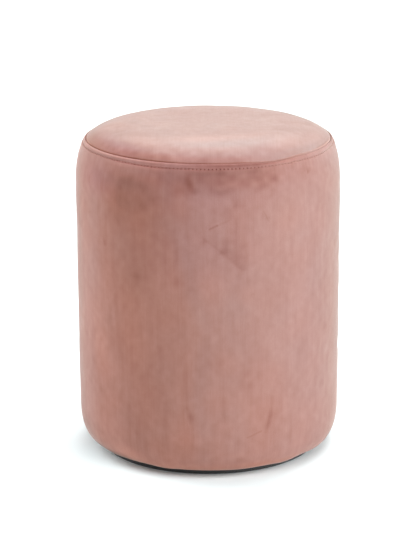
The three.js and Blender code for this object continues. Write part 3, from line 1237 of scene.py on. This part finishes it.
@dataclass
class SidePanel:
    """The side panel over its filling, with its turned and topstitched fold at the top.

    A count of rings takes in both of the places that they run between. The rings of the fold have
    finer columns than the rest.
    """

    profile: CoverProfile
    base_radius: float
    slack: Slack
    nap_and_painted_light: NapAndPaintedLight = SIDE_NAP_AND_PAINTED_LIGHT
    clearance: float = 0.3 * MM
    columns: int = 400
    finer: int = 3
    back_crowding: float = 6.0
    back_crowd_width: float = 6 * MM
    crowding_steps: int = 20001
    corner_rings: int = 26
    corner_crowding: float = 1.15
    side_rings: int = 84
    shoulder_rings: int = 12
    shoulder_below: float = 52 * MM
    fold_ends_below: float = 18 * MM
    groove_ends_below: float = 10.4 * MM
    groove_starts_below: float = 3.4 * MM
    fold_rings: tuple[int, int, int] = (8, 15, 5)
    lip_rings: int = 5
    fold_proud: float = 0.7 * MM
    lip: float = 1.3 * MM
    lip_drop: float = 1.2 * MM
    groove_depth: float = 0.5 * MM
    hole_depth: float = 0.7 * MM
    groove_width: float = 1.0 * MM
    crease_depth: float = 3.0 * MM
    crease_inset: float = 0.9 * MM
    crease_lip: float = 1.8 * MM
    crease_lean: float = 0.3 * MM
    crease_floor_width: float = 4 * MM
    sag_fade: float = 1.5
    back_seam_depth: float = 1.3 * MM
    back_seam_width: float = 2.2 * MM
    pucker_depth: float = 0.25 * MM
    pucker_width: float = 5 * MM
    pucker_pitch: float = 9 * MM

    def azimuths(self, on_fold: bool) -> np.ndarray:
        """The azimuths of the columns, counted from the back seam and crowded beside it.

        Args:
            on_fold: Whether each step is cut into the finer ones that the fold has.

        Returns:
            The azimuths of one ring, in radians.
        """
        turn = np.linspace(0, TURN, self.crowding_steps)
        away = np.minimum(turn, TURN - turn)
        density = 1 + self.back_crowding * swell(away, self.back_crowd_width / self.profile.radius)
        share = np.concatenate([[0], np.cumsum((density[1:] + density[:-1]) / 2)])
        azimuth = np.interp(np.linspace(0, 1, self.columns + 1), share / share[-1], turn)
        if on_fold:
            steps = np.arange(self.columns * self.finer + 1) / self.finer
            azimuth = np.interp(steps, np.arange(self.columns + 1), azimuth)
        return BACK + azimuth[:-1]

    def plain_rows(self) -> np.ndarray:
        """How far below the seam the rings lie, from the lower edge up to the fold.

        Returns:
            The lengths of cloth, the longest first.
        """
        up_corner = np.linspace(0, 1, self.corner_rings) ** self.corner_crowding
        corner = self.profile.length - self.profile.corner_length * up_corner
        return np.concatenate([
            corner,
            np.linspace(corner[-1], self.shoulder_below, self.side_rings)[1:],
            np.linspace(self.shoulder_below, self.fold_ends_below, self.shoulder_rings)[1:],
        ])

    def fold_rows(self) -> np.ndarray:
        """How far below the seam the rings of the fold lie, crowded in its groove and on its lip.

        Returns:
            The lengths of cloth, the longest first.
        """
        places = self.fold_ends_below, self.groove_ends_below, self.groove_starts_below, self.lip
        stretches = zip(places, places[1:], self.fold_rings)
        rows = [np.linspace(start, end, rings)[1:] for start, end, rings in stretches]
        round_lip = self.lip * (1 - np.sin(np.linspace(0, 90, self.lip_rings)[1:] * DEGREE))
        return np.concatenate([*rows, round_lip])

    def climbed(self, below: np.ndarray) -> np.ndarray:
        """How far up the lower corner a place is, 0 at the lower edge and 1 from its top up."""
        return np.clip((self.profile.length - below) / self.profile.corner_length, 0, 1)

    def fold_relief(self, azimuth: np.ndarray, below: np.ndarray, dip: np.ndarray) -> np.ndarray:
        """How proud the cloth stands about the fold, its lip and its topstitching.

        Args:
            azimuth: The azimuths, in radians.
            below: The lengths of cloth below the even seam.
            dip: How far the seam strays down there.

        Returns:
            How far the cloth stands out of the even side.
        """
        from_seam = np.clip(below - dip, 0, None)
        lip = np.clip(from_seam / self.lip, 0, 1)
        rounded = self.lip_drop * (np.sqrt(1 - (1 - lip) ** 2) - 1)
        fold = self.fold_proud * (1 - ease(below, TOPSTITCH_BELOW, self.fold_ends_below))
        hole = 0.5 + 0.5 * np.cos(STITCHES * (azimuth - BACK))
        depth = self.groove_depth + self.hole_depth * hole
        from_line = below - TOPSTITCH_BELOW - total(STITCH_STRAYS, azimuth)
        return rounded + fold - depth * swell(from_line, self.groove_width)

    def back_seam(self, azimuth: np.ndarray, below: np.ndarray) -> np.ndarray:
        """How deep the closing seam draws the cloth in, with the small puckers beside it.

        Args:
            azimuth: The azimuths, in radians.
            below: The lengths of cloth below the even seam.

        Returns:
            The depths.
        """
        away = turn_between(azimuth, BACK) * self.profile.radius
        groove = self.back_seam_depth * swell(away, self.back_seam_width)
        pucker = self.pucker_depth * swell(away, self.pucker_width)
        return groove + pucker * np.cos(TURN * below / self.pucker_pitch + np.sign(away))

    def lie(self, azimuth: np.ndarray, below: np.ndarray | float, on_fold: bool) -> tuple[np.ndarray, ...]:
        """Where the cloth lies round the pouf.

        Args:
            azimuth: The azimuths, in radians.
            below: The length of cloth below the seam, where the seam doesn't stray.
            on_fold: Whether the fold and its topstitching are felt.

        Returns:
            The radii, the levels and the true lengths below the even seam.
        """
        dip = total(SEAM_DIPS, azimuth)
        down = below + dip * np.clip(1 - below / TOPSTITCH_BELOW, 0, None)
        proud = self.fold_relief(azimuth, down, dip) if on_fold else 0.0
        radius, level = self.profile.at(down, proud)
        climbed = self.climbed(down)
        felt = climbed * np.clip(down / self.fold_ends_below, 0, 1)
        out = total(SIDE_SWELLS, azimuth, level) + self.slack.at(azimuth, down)
        radius = radius + felt * (out - self.back_seam(azimuth, down))
        level = level - (1 - climbed) ** self.sag_fade * total(EDGE_DROPS, azimuth)
        return radius, level, down

    def ring(self, below: float, on_fold: bool) -> Ring:
        """One ring of the cloth, at a length below the even seam."""
        azimuth = self.azimuths(on_fold)
        radius, level, down = self.lie(azimuth, below, on_fold)
        return around(radius, level, azimuth, down)

    def crease_wall(self, depth: float, lean: float) -> Ring:
        """A ring down the wall of the seam's crease, which follows the seam where it strays.

        Args:
            depth: How deep the ring lies under the seam.
            lean: How far out of the upright wall it lies.

        Returns:
            The ring.
        """
        azimuth = self.azimuths(on_fold=True)
        dip = total(SEAM_DIPS, azimuth)
        out, up = self.profile.seam_direction
        radius = self.profile.seam[0] - self.crease_inset + lean - out * dip
        level = self.profile.seam[1] - depth - up * dip * (1 - depth / self.crease_depth)
        return around(radius, level, azimuth, -depth)

    def stitch_line(self, rise: float) -> tuple[np.ndarray, np.ndarray, np.ndarray]:
        """Where the stitches of the topstitching sit.

        Args:
            rise: How far a stitch's middle stands out of the groove.

        Returns:
            The middles of the stitches, the ways out of the cloth and the ways along the line.
        """
        azimuth = BACK + (np.arange(STITCHES) + 0.5) * TURN / STITCHES
        below = TOPSTITCH_BELOW + total(STITCH_STRAYS, azimuth)
        radius, level, down = self.lie(azimuth, below, on_fold=True)
        out, up = self.profile.outward(down)
        outward = around(out, up, azimuth, down).points
        onward = np.stack([np.cos(azimuth), np.sin(azimuth), 0 * azimuth], 1)
        return around(radius, level, azimuth, down).points + rise * outward, outward, onward

    def build(self) -> tuple[bpy.types.Object, Skin]:
        """Builds the whole closed cover of the side.

        Returns:
            The object and the skin that it was laid over.
        """
        profile = self.profile
        azimuth = self.azimuths(on_fold=False)
        skin = Skin("side_cover")
        skin.pole(profile.underside, profile.length + self.base_radius)
        inner = self.base_radius + self.clearance
        inner_below = profile.length + profile.edge_radius - inner
        skin.add(around(inner, profile.underside, azimuth, inner_below))
        for below in self.plain_rows():
            skin.add(self.ring(below, on_fold=False))
        for below in self.fold_rows():
            skin.add(self.ring(below, on_fold=True))
        skin.add(self.crease_wall(self.crease_lip, self.crease_lean))
        skin.add(self.crease_wall(self.crease_depth, 0))
        floor = profile.seam[1] - self.crease_depth
        skin.add(around(profile.seam[0] - self.crease_floor_width, floor, azimuth, -self.crease_depth))
        skin.pole(floor, -self.crease_depth)
        return skin.build(profile.radius), skin


@dataclass
class TopPanel:
    """The round top panel over its filling, standing in the crease of the seam."""

    side: SidePanel
    slack: Slack
    nap_and_painted_light: NapAndPaintedLight = TOP_NAP_AND_PAINTED_LIGHT
    crease_width: float = 0.5 * MM
    edge_round: float = 1.2 * MM
    roll_off: float = 36 * MM
    columns: int = 400
    edge_rings: int = 7
    crown_rings: int = 46
    crown_crowding: float = 1.45

    @property
    def edge_inset(self) -> float:
        """How far in from the even seam the upright edge of the panel stands."""
        return self.side.crease_inset + self.crease_width

    def surface(self, inset: float, azimuth: np.ndarray) -> Ring:
        """One ring of the crown, by its distance in from the even seam.

        Args:
            inset: How far in from the even seam it lies.
            azimuth: The azimuths of its points, in radians.

        Returns:
            The ring.
        """
        profile = self.side.profile
        out, up = profile.seam_direction
        at_rim = bump(inset, self.roll_off)
        dip = total(SEAM_DIPS, azimuth) * at_rim
        radius = profile.seam[0] - inset - out * dip
        x, y = radius * np.sin(azimuth), -radius * np.cos(azimuth)
        raised = sum((hump.at(x, y) for hump in TOP_SWELLS), np.zeros(len(azimuth)))
        raised = (raised + self.slack.at(azimuth, inset)) * (1 - at_rim)
        level = profile.crown(profile.seam[0] - inset) - self.edge_drop(inset)
        return around(radius, level - up * dip + raised, azimuth, -inset)

    def edge_drop(self, inset: float) -> float:
        """How far the rounded edge of the panel falls away towards the crease."""
        share = min(max((inset - self.edge_inset) / self.edge_round, 0), 1)
        return self.edge_round * (1 - math.sqrt(1 - (1 - share) ** 2))

    def build(self) -> tuple[bpy.types.Object, Skin]:
        """Builds the closed cover of the top.

        Returns:
            The object and the skin that it was laid over.
        """
        profile = self.side.profile
        skin = Skin("top_cover", flat_map=True)
        azimuth = round_azimuths(self.columns)
        floor = profile.seam[1] - self.side.crease_depth + self.side.clearance
        foot = profile.seam[0] - self.edge_inset - profile.seam_direction[0] * total(SEAM_DIPS, azimuth)
        skin.pole(floor, 0)
        skin.add(around(foot, floor, azimuth, 0.0))
        round_edge = 1 - np.cos(np.linspace(0, 90, self.edge_rings) * DEGREE)
        edge = self.edge_inset + self.edge_round * round_edge
        inward = np.linspace(0, 1, self.crown_rings + 1)[1:-1] ** self.crown_crowding
        crown = edge[-1] + (profile.seam[0] - edge[-1]) * inward
        for inset in (*edge, *crown):
            skin.add(self.surface(inset, azimuth))
        centre = self.surface(profile.seam[0], azimuth[:1]).points[0, 2]
        skin.pole(centre, -profile.seam[0])
        return skin.build(profile.radius), skin


class Wiring:
    """Adds and links the nodes of one tree."""

    def __init__(self, tree: bpy.types.NodeTree) -> None:
        """Starts from an empty tree."""
        self.tree = tree
        self.tree.nodes.clear()

    @classmethod
    def of_material(cls, material: bpy.types.Material) -> "Wiring":
        """The wiring of a material."""
        material.use_nodes = True
        return cls(material.node_tree)

    @classmethod
    def of_group(cls, name: str, kind: str, inputs: dict[str, str], output: tuple[str, str]) -> "Wiring":
        """The wiring of a new group.

        Args:
            name: The group's name.
            kind: The type of its tree.
            inputs: The kind of each input socket, by name.
            output: The name and the kind of its output socket.

        Returns:
            The wiring.
        """
        tree = bpy.data.node_groups.new(name, kind)
        for socket, value in inputs.items():
            tree.interface.new_socket(socket, in_out="INPUT", socket_type=f"NodeSocket{value}")
        tree.interface.new_socket(output[0], in_out="OUTPUT", socket_type=f"NodeSocket{output[1]}")
        return cls(tree)

    def add(self, kind: str, inputs: Inputs | None = None, **settings: object) -> bpy.types.Node:
        """Adds a node.

        Args:
            kind: The node's type.
            inputs: Values or output sockets for its inputs, by name or number.
            settings: Its own settings.

        Returns:
            The node.
        """
        node = self.tree.nodes.new(kind)
        for name, value in settings.items():
            setattr(node, name, value)
        for name, value in (inputs or {}).items():
            self.feed(node.inputs[name], value)
        return node

    def feed(self, socket: bpy.types.NodeSocket, value: object) -> None:
        """Links an output to an input, or sets the input's value.

        Args:
            socket: The input.
            value: An output socket or a plain value.
        """
        if isinstance(value, bpy.types.NodeSocket):
            self.tree.links.new(value, socket)
        else:
            socket.default_value = value

    def maths(self, operation: str, *values: object, clamp: bool = False) -> bpy.types.NodeSocket:
        """The result of one sum on numbers."""
        inputs = dict(enumerate(values))
        return self.add("ShaderNodeMath", inputs, operation=operation, use_clamp=clamp).outputs[0]

    def vectors(self, operation: str, *values: object) -> bpy.types.NodeSocket:
        """The result of one sum on vectors: a number for a dot product or a length."""
        node = self.add("ShaderNodeVectorMath", dict(enumerate(values)), operation=operation)
        return node.outputs["Value" if operation in ("DOT_PRODUCT", "LENGTH") else "Vector"]

    def scaled(self, vector: object, scale: object) -> bpy.types.NodeSocket:
        """A vector made longer or shorter."""
        inputs = {0: vector, "Scale": scale}
        return self.add("ShaderNodeVectorMath", inputs, operation="SCALE").outputs["Vector"]

    def combined(self, **parts: object) -> bpy.types.NodeSocket:
        """A vector from its X, Y and Z."""
        return self.add("ShaderNodeCombineXYZ", parts).outputs[0]

    def less(self, attribute: str) -> bpy.types.NodeSocket:
        """What the number that the mesh stores at each point leaves of 1."""
        return self.maths("SUBTRACT", 1.0, self.attribute(attribute))

    def attribute(self, name: str) -> bpy.types.NodeSocket:
        """The number that the mesh stores at each point."""
        return self.add("ShaderNodeAttribute", attribute_name=name).outputs["Fac"]

    def surface(self, inputs: dict[str, object]) -> None:
        """Ends a material in one shaded surface."""
        shader = self.add("ShaderNodeBsdfPrincipled", inputs)
        self.add("ShaderNodeOutputMaterial", {"Surface": shader.outputs[0]})


@dataclass(frozen=True)
class Crease:
    """A fine line pressed into the pile of the side, from one place to another.

    The mesh has no dent for it: its pressed pile and the shade in it are drawn as one line of painted
    shade in the colour. A place is an azimuth in degrees and a length of cloth below the seam.
    """

    start: tuple[float, float]
    end: tuple[float, float]
    width: float
    depth: float

    def on_map(self, place: tuple[float, float], radius: float) -> tuple[float, float, float]:
        """A place on the map of the cloth."""
        return (place[0] * DEGREE + BACK) * radius, -place[1], 0.0


# Lines pressed into the side's pile, each drawn as painted shade with no dent in the mesh.
CREASES = (
    Crease((-3.0, 0.0965), (5.4, 0.117), 2.6 * MM, 0.06),
    Crease((5.4, 0.117), (14.0, 0.142), 4.0 * MM, 0.06),
    Crease((0.4, 0.0860), (3.6, 0.0812), 2.0 * MM, 0.21),
    Crease((3.6, 0.0812), (8.2, 0.0752), 2.4 * MM, 0.09),
    Crease((-11.0, 0.286), (-9.2, 0.332), 4.0 * MM, 0.04),
    Crease((-9.2, 0.332), (-6.8, 0.360), 4.4 * MM, 0.06),
    Crease((28.0, 0.324), (27.2, 0.350), 4.2 * MM, 0.07),
    Crease((27.2, 0.350), (25.0, 0.371), 4.6 * MM, 0.09),
    Crease((22.8, 0.3685), (16.6, 0.3755), 1.8 * MM, 0.15),
    Crease((-62.6, 0.0875), (-60.2, 0.0850), 1.6 * MM, 0.10),
    Crease((-50.6, 0.112), (-49.6, 0.124), 2.4 * MM, 0.08),
    Crease((23.4, 0.066), (24.6, 0.072), 1.6 * MM, 0.10),
    Crease((24.8, 0.074), (26.0, 0.081), 1.6 * MM, 0.10),
)


@dataclass(frozen=True)
class Chance:
    """One scale of chance in the velvet: the sizes of its grain, its strength and its detail."""

    across: float
    along: float
    strength: float
    detail: float = 1.0


@dataclass(frozen=True)
class Velvet:
    """Short-pile velvet in dusty pink, its colour following its pile and its painted light and shade.

    The two colours are those of pile as warm and as cold as the reach of the warmth. The flush is
    how much of its red, green and blue the pile loses with each part of fine shading. The map is
    in metres of cloth, and its second axis runs up the side and to the back of the top.
    """

    warm: Colour = (0.408, 0.176, 0.131)
    cold: Colour = (0.294, 0.213, 0.208)
    reach: float = 0.4
    flush: Colour = (0.74, 1.13, 1.28)
    roughness: float = 0.95
    sheen: float = 0.52
    sheen_roughness: float = 0.3
    sheen_tint: Colour = (1.0, 0.95, 0.90)
    grain: tuple[Chance, ...] = (
        Chance(across=2.4 * MM, along=60 * MM, strength=0.045),
        Chance(across=8.0 * MM, along=11.0 * MM, strength=0.060),
        Chance(across=1.3 * MM, along=1.6 * MM, strength=0.052),
    )
    pile: Chance = Chance(across=1.4 * MM, along=1.4 * MM, strength=0.5, detail=2.0)
    pile_height: float = 0.25 * MM
    noise_roughness: float = 0.5
    # How far the middle of a crease is rounded off.
    crease_softness: float = 0.5

    def material(self, name: str, creases: tuple[Crease, ...], radius: float) -> bpy.types.Material:
        """Builds the material.

        Args:
            name: The material's name.
            creases: The fine lines in its pile.
            radius: The radius at which the map has its true width round the pouf.

        Returns:
            The material.
        """
        made = bpy.data.materials.new(name)
        wiring = Wiring.of_material(made)
        place = wiring.add("ShaderNodeUVMap", uv_map=CLOTH_UV).outputs[0]
        fine = self.fine_shading(wiring, place, creases, radius)
        pile = self.noise(wiring, place, self.pile)
        raised = {"Height": pile, "Distance": self.pile_height, "Strength": self.pile.strength}
        wiring.surface({
            "Base Color": self.colour(wiring, fine),
            "Roughness": self.roughness,
            "Specular IOR Level": 0.0,
            "Sheen Weight": self.sheen,
            "Sheen Roughness": self.sheen_roughness,
            "Sheen Tint": (*self.sheen_tint, 1),
            "Normal": wiring.add("ShaderNodeBump", raised).outputs[0],
        })
        return made

    def fine_shading(
        self, wiring: Wiring, place: bpy.types.NodeSocket, creases: tuple[Crease, ...], radius: float
    ) -> bpy.types.NodeSocket:
        """How dark the grain and the painted shade of the creases are at each place of the map.

        Args:
            wiring: The material's wiring.
            place: The place on the map.
            creases: The fine lines in the pile.
            radius: The radius at which the map has its true width round the pouf.

        Returns:
            The socket that gives the darkness.
        """
        fine: object = 0.0
        for grain in self.grain:
            noise = wiring.maths("SUBTRACT", self.noise(wiring, place, grain), 0.5)
            fine = wiring.maths("ADD", fine, wiring.maths("MULTIPLY", noise, 2 * grain.strength))
        group = self.crease_group() if creases else None
        for crease in creases:
            line = wiring.add("ShaderNodeGroup", {
                "Place": place,
                "Start": crease.on_map(crease.start, radius),
                "End": crease.on_map(crease.end, radius),
                "Width": crease.width,
                "Depth": crease.depth,
            }, node_tree=group)
            fine = wiring.maths("ADD", fine, line.outputs[0])
        return fine

    def colour(self, wiring: Wiring, fine: bpy.types.NodeSocket) -> bpy.types.NodeSocket:
        """The colour of the pile: warm or cold, then rosier, then shaded finely and broadly.

        Args:
            wiring: The material's wiring.
            fine: The fine shading.

        Returns:
            The socket that gives the colour.
        """
        share = wiring.maths("MULTIPLY_ADD", wiring.attribute(WARMTH), 0.5 / self.reach, 0.5)
        # Inputs 0, 6 and 7 are the share and the two colours, and output 2 is their mix.
        inputs = {0: share, 6: (*self.cold, 1), 7: (*self.warm, 1)}
        mixed = wiring.add("ShaderNodeMix", inputs, data_type="RGBA").outputs[2]
        rosy = wiring.combined(X=1.0, Y=wiring.less(BLUSH), Z=1.0)
        colour = wiring.vectors("MULTIPLY", mixed, rosy)
        redder = wiring.vectors("SUBTRACT", (1, 1, 1), wiring.scaled(self.flush, fine))
        return wiring.scaled(wiring.vectors("MULTIPLY", colour, redder), wiring.less(SHADE))

    def noise(self, wiring: Wiring, place: bpy.types.NodeSocket, grain: Chance) -> bpy.types.NodeSocket:
        """Soft noise over the cloth, 0 to 1 and about 0.5, with grains of the given sizes.

        Args:
            wiring: The material's wiring.
            place: The place on the map.
            grain: The sizes of the grains and their detail.

        Returns:
            The socket that gives the noise.
        """
        return wiring.add("ShaderNodeTexNoise", {
            "Vector": wiring.vectors("MULTIPLY", place, (1 / grain.across, 1 / grain.along, 1)),
            "Scale": 1.0,
            "Detail": grain.detail,
            "Roughness": self.noise_roughness,
        }, noise_dimensions="2D").outputs[0]

    def crease_group(self) -> bpy.types.NodeTree:
        """A node group that gives the shade of one crease at a place on the map.

        Returns:
            The group's tree.
        """
        wiring = Wiring.of_group(
            "crease",
            "ShaderNodeTree",
            {"Place": "Vector", "Start": "Vector", "End": "Vector", "Width": "Float", "Depth": "Float"},
            ("Shade", "Float"),
        )
        given = wiring.add("NodeGroupInput").outputs
        whole = wiring.vectors("SUBTRACT", given["End"], given["Start"])
        part = wiring.vectors("SUBTRACT", given["Place"], given["Start"])
        along = wiring.vectors("DOT_PRODUCT", part, whole)
        length = wiring.vectors("DOT_PRODUCT", whole, whole)
        share = wiring.maths("DIVIDE", along, length, clamp=True)
        away = wiring.vectors("LENGTH", wiring.vectors("SUBTRACT", part, wiring.scaled(whole, share)))
        near = wiring.maths("SUBTRACT", 1.0, wiring.maths("DIVIDE", away, given["Width"]), clamp=True)
        rounded = wiring.maths("SMOOTH_MIN", near, 1.0, self.crease_softness)
        wiring.add("NodeGroupOutput", {"Shade": wiring.maths("MULTIPLY", rounded, given["Depth"])})
        return wiring.tree


@dataclass(frozen=True)
class PlainFinish:
    """A finish of one even colour, which may glow a little."""

    name: str
    colour: Colour
    roughness: float
    specular: float = 0.5
    glow: float = 0.0

    def material(self) -> bpy.types.Material:
        """Builds the material.

        Returns:
            The material.
        """
        made = bpy.data.materials.new(self.name)
        inputs = {
            "Base Color": (*self.colour, 1),
            "Roughness": self.roughness,
            "Specular IOR Level": self.specular,
        }
        if self.glow:
            inputs |= {"Emission Color": (*self.colour, 1), "Emission Strength": self.glow}
        Wiring.of_material(made).surface(inputs)
        return made


THREAD = PlainFinish("thread", (0.41, 0.197, 0.160), roughness=0.7, specular=0.2)
BLACK_BOARD = PlainFinish("black_board", (0.045, 0.046, 0.047), roughness=0.6)
# The floor's glow is painted light: it lightens the shadow on the floor around the pouf and lights the
# pouf a little from below.
PALE_FLOOR = PlainFinish("pale_floor", (0.80, 0.885, 0.9), roughness=0.9, specular=0.0, glow=0.1)


@dataclass(frozen=True)
class Topstitching:
    """The row of stitches that holds the fold down, laid by geometry nodes."""

    side: SidePanel
    length: float = 3.3 * MM
    thickness: float = 0.6 * MM
    rise: float = 0.2 * MM
    sink: float = 0.5 * MM
    jitter: float = 4.0
    seed: int = 5
    facets: int = 8

    def build(self) -> bpy.types.Object:
        """Builds the stitches as one mesh.

        Returns:
            The object.
        """
        middles, outward, onward = self.side.stitch_line(self.rise)
        mesh = bpy.data.meshes.new("topstitching")
        mesh.from_pydata(middles.tolist(), [], [])
        for name, values in (("outward", outward), ("onward", onward)):
            attribute = mesh.attributes.new(name, "FLOAT_VECTOR", "POINT")
            attribute.data.foreach_set("vector", values.astype(np.float32).ravel())
        made = link("topstitching", mesh)
        modifier = made.modifiers.new("stitches", "NODES")
        modifier.node_group = self.tree()
        sockets = {item.name: item.identifier for item in modifier.node_group.interface.items_tree}
        for name, value in (
            ("Stitch Length", self.length),
            ("Thickness", self.thickness),
            ("Sink", self.sink),
            ("Jitter", self.jitter * DEGREE),
            ("Seed", self.seed),
            ("Thread", THREAD.material()),
        ):
            modifier[sockets[name]] = value
        ready = made.evaluated_get(bpy.context.evaluated_depsgraph_get())
        laid = bpy.data.meshes.new_from_object(ready)
        made.modifiers.remove(modifier)
        made.data = laid
        return made

    def tree(self) -> bpy.types.NodeTree:
        """The node tree that lays one curved stitch at each point.

        Returns:
            The tree, which ends in real geometry of the thread's material.
        """
        wiring = Wiring.of_group(
            "stitches",
            "GeometryNodeTree",
            {
                "Geometry": "Geometry",
                "Stitch Length": "Float",
                "Thickness": "Float",
                "Sink": "Float",
                "Jitter": "Float",
                "Seed": "Int",
                "Thread": "Material",
            },
            ("Geometry", "Geometry"),
        )
        given = wiring.add("NodeGroupInput").outputs
        half = wiring.maths("MULTIPLY", given["Stitch Length"], 0.5)
        back = wiring.maths("MULTIPLY", half, -1.0)
        deep = wiring.maths("MULTIPLY", given["Sink"], -1.0)
        line = wiring.add("GeometryNodeCurveQuadraticBezier", {
            "Resolution": self.facets,
            "Start": wiring.combined(X=back, Z=deep),
            "Middle": wiring.combined(Z=given["Sink"]),
            "End": wiring.combined(X=half, Z=deep),
        })
        radius = wiring.maths("MULTIPLY", given["Thickness"], 0.5)
        outline = wiring.add("GeometryNodeCurvePrimitiveCircle", {
            "Resolution": self.facets,
            "Radius": radius,
        })
        stitch = wiring.add("GeometryNodeCurveToMesh", {
            "Curve": line.outputs[0],
            "Profile Curve": outline.outputs[0],
            "Fill Caps": True,
        })
        ways = {
            index: wiring.add(
                "GeometryNodeInputNamedAttribute", {"Name": name}, data_type="FLOAT_VECTOR"
            ).outputs[0]
            for index, name in enumerate(("outward", "onward"))
        }
        turn = wiring.add("FunctionNodeAxesToRotation", ways, primary_axis="Z", secondary_axis="X")
        least = wiring.maths("MULTIPLY", given["Jitter"], -1.0)
        # Inputs 2 and 3 are the limits of a random number, and output 1 is the number.
        swing = wiring.add("FunctionNodeRandomValue", {
            2: least,
            3: given["Jitter"],
            "Seed": given["Seed"],
        }, data_type="FLOAT").outputs[1]
        swings = {0: turn.outputs[0], 1: wiring.combined(Z=swing)}
        turned = wiring.add("FunctionNodeRotateRotation", swings, rotation_space="LOCAL")
        placed = wiring.add("GeometryNodeInstanceOnPoints", {
            "Points": given["Geometry"],
            "Instance": stitch.outputs[0],
            "Rotation": turned.outputs[0],
        })
        real = wiring.add("GeometryNodeRealizeInstances", {"Geometry": placed.outputs[0]})
        dyed = wiring.add(
            "GeometryNodeSetMaterial", {"Geometry": real.outputs[0], "Material": given["Thread"]}
        )
        wiring.add("NodeGroupOutput", {"Geometry": dyed.outputs[0]})
        return wiring.tree


@dataclass(frozen=True)
class SoftLight:
    """A wide soft light, far from the pouf.

    It shines from its azimuth and elevation, and its spread is how wide it looks, all in degrees.
    """

    name: str
    azimuth: float
    elevation: float
    strength: float
    spread: float = 40.0

    def place(self) -> None:
        """Hangs the light."""
        turn, lift = self.azimuth * DEGREE, self.elevation * DEGREE
        away = Vector((
            math.sin(turn) * math.cos(lift),
            -math.cos(turn) * math.cos(lift),
            math.sin(lift),
        ))
        data = bpy.data.lights.new(self.name, "SUN")
        data.angle = self.spread * DEGREE
        data.energy = self.strength
        link(self.name, data).rotation_euler = away.to_track_quat("Z", "Y").to_euler()


@dataclass(frozen=True)
class Studio:
    """A pale floor, just under the base, and soft lights in a dark room."""

    floor_reach: float = 30.0
    floor_drop: float = 0.2 * MM
    floor_finish: PlainFinish = PALE_FLOOR
    sky: float = 0.0
    lights: tuple[SoftLight, ...] = (
        SoftLight("front_high", 0, 62, 1.25),
        SoftLight("right_front", 60, 35, 1.74),
        SoftLight("right_front_low", 60, 8, 0.58),
        SoftLight("right_low", 90, 8, 1.33),
        SoftLight("right_back_high", 150, 62, 2.02),
        SoftLight("left_back", -120, 35, 2.07),
        SoftLight("left_back_low", -120, 8, 1.97),
    )

    def build(self) -> None:
        """Lays the floor, darkens the sky and hangs the lights."""
        reach = self.floor_reach
        corners = ((-reach, -reach), (reach, -reach), (reach, reach), (-reach, reach))
        mesh = bpy.data.meshes.new("floor")
        mesh.from_pydata([(x, y, -self.floor_drop) for x, y in corners], [], [(0, 1, 2, 3)])
        mesh.materials.append(self.floor_finish.material())
        floor = link("floor", mesh)
        world = bpy.data.worlds.new("studio")
        bpy.context.scene.world = world
        world.use_nodes = True
        world.node_tree.nodes["Background"].inputs["Strength"].default_value = self.sky
        for light in self.lights:
            light.place()


@dataclass(frozen=True)
class PhotoCamera:
    """The camera, where the photograph was taken from.

    The focal length is in pixels of the photograph, the pitch is the angle looked down, and the
    roll is the camera's own turn about its line of sight, both in degrees.
    """

    focal: float = 2229.2
    long_side: float = 557.0
    distance: float = 3.0941
    pitch: float = 15.945
    aim_level: float = 0.23233
    roll: float = -0.126
    aside: float = -0.83 * MM
    sensor: float = 36.0
    sight: float = 200.0

    def build(self) -> None:
        """Sets up the camera and makes it the scene's own."""
        data = bpy.data.cameras.new("camera")
        data.sensor_width = self.sensor
        data.lens = self.focal * self.sensor / self.long_side
        data.clip_end = self.sight
        made = link("camera", data)
        pitch = self.pitch * DEGREE
        made.location = (
            self.aside,
            -self.distance * math.cos(pitch),
            self.aim_level + self.distance * math.sin(pitch),
        )
        tilt = Matrix.Rotation(90 * DEGREE - pitch, 3, "X")
        made.rotation_euler = (tilt @ Matrix.Rotation(self.roll * DEGREE, 3, "Z")).to_euler()
        bpy.context.scene.camera = made


def report(made: bpy.types.Object) -> None:
    """Logs a finished piece."""
    LOG.info("%s: %d faces", made.name, len(made.data.polygons))


@dataclass
class Pouf:
    """The whole pouf: two velvet panels over their filling, on a black base."""

    profile: CoverProfile = field(default_factory=CoverProfile)
    velvet: Velvet = Velvet()

    def build(self, frame: dict) -> None:
        """Builds and dresses every piece.
        """
        side_slack, top_slack = StuffedDrum(self.profile).settle()
        side = SidePanel(self.profile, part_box(Node.BASE.value)[1].y, side_slack)
        top = TopPanel(side, top_slack)
        for part, node, creases in ((side, Node.SIDE, CREASES), (top, Node.TOP, ())):
            made, skin = part.build()
            part.nap_and_painted_light.dress(made, skin.spots())
            velvet = self.velvet.material(f"{node.value}_velvet", creases, self.profile.radius)
            made.data.materials.append(velvet)
            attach(made, "root")
            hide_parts(node.value)
            report(made)
        stitches = Topstitching(side).build()
        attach(stitches, "root")
        report(stitches)
        base = frame["nodes"][Node.BASE.value]
        base.data.materials.clear()
        base.data.materials.append(BLACK_BOARD.material())
        report(base)


def main() -> None:
    """Builds the pouf and its studio."""
    logging.basicConfig(level=logging.INFO, format="%(name)s: %(message)s")
    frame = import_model()
    PhotoCamera().build()
    Pouf().build(frame)
    Studio().build()
    bpy.context.scene.view_settings.view_transform = "Standard"


if __name__ == "__main__":
    main()
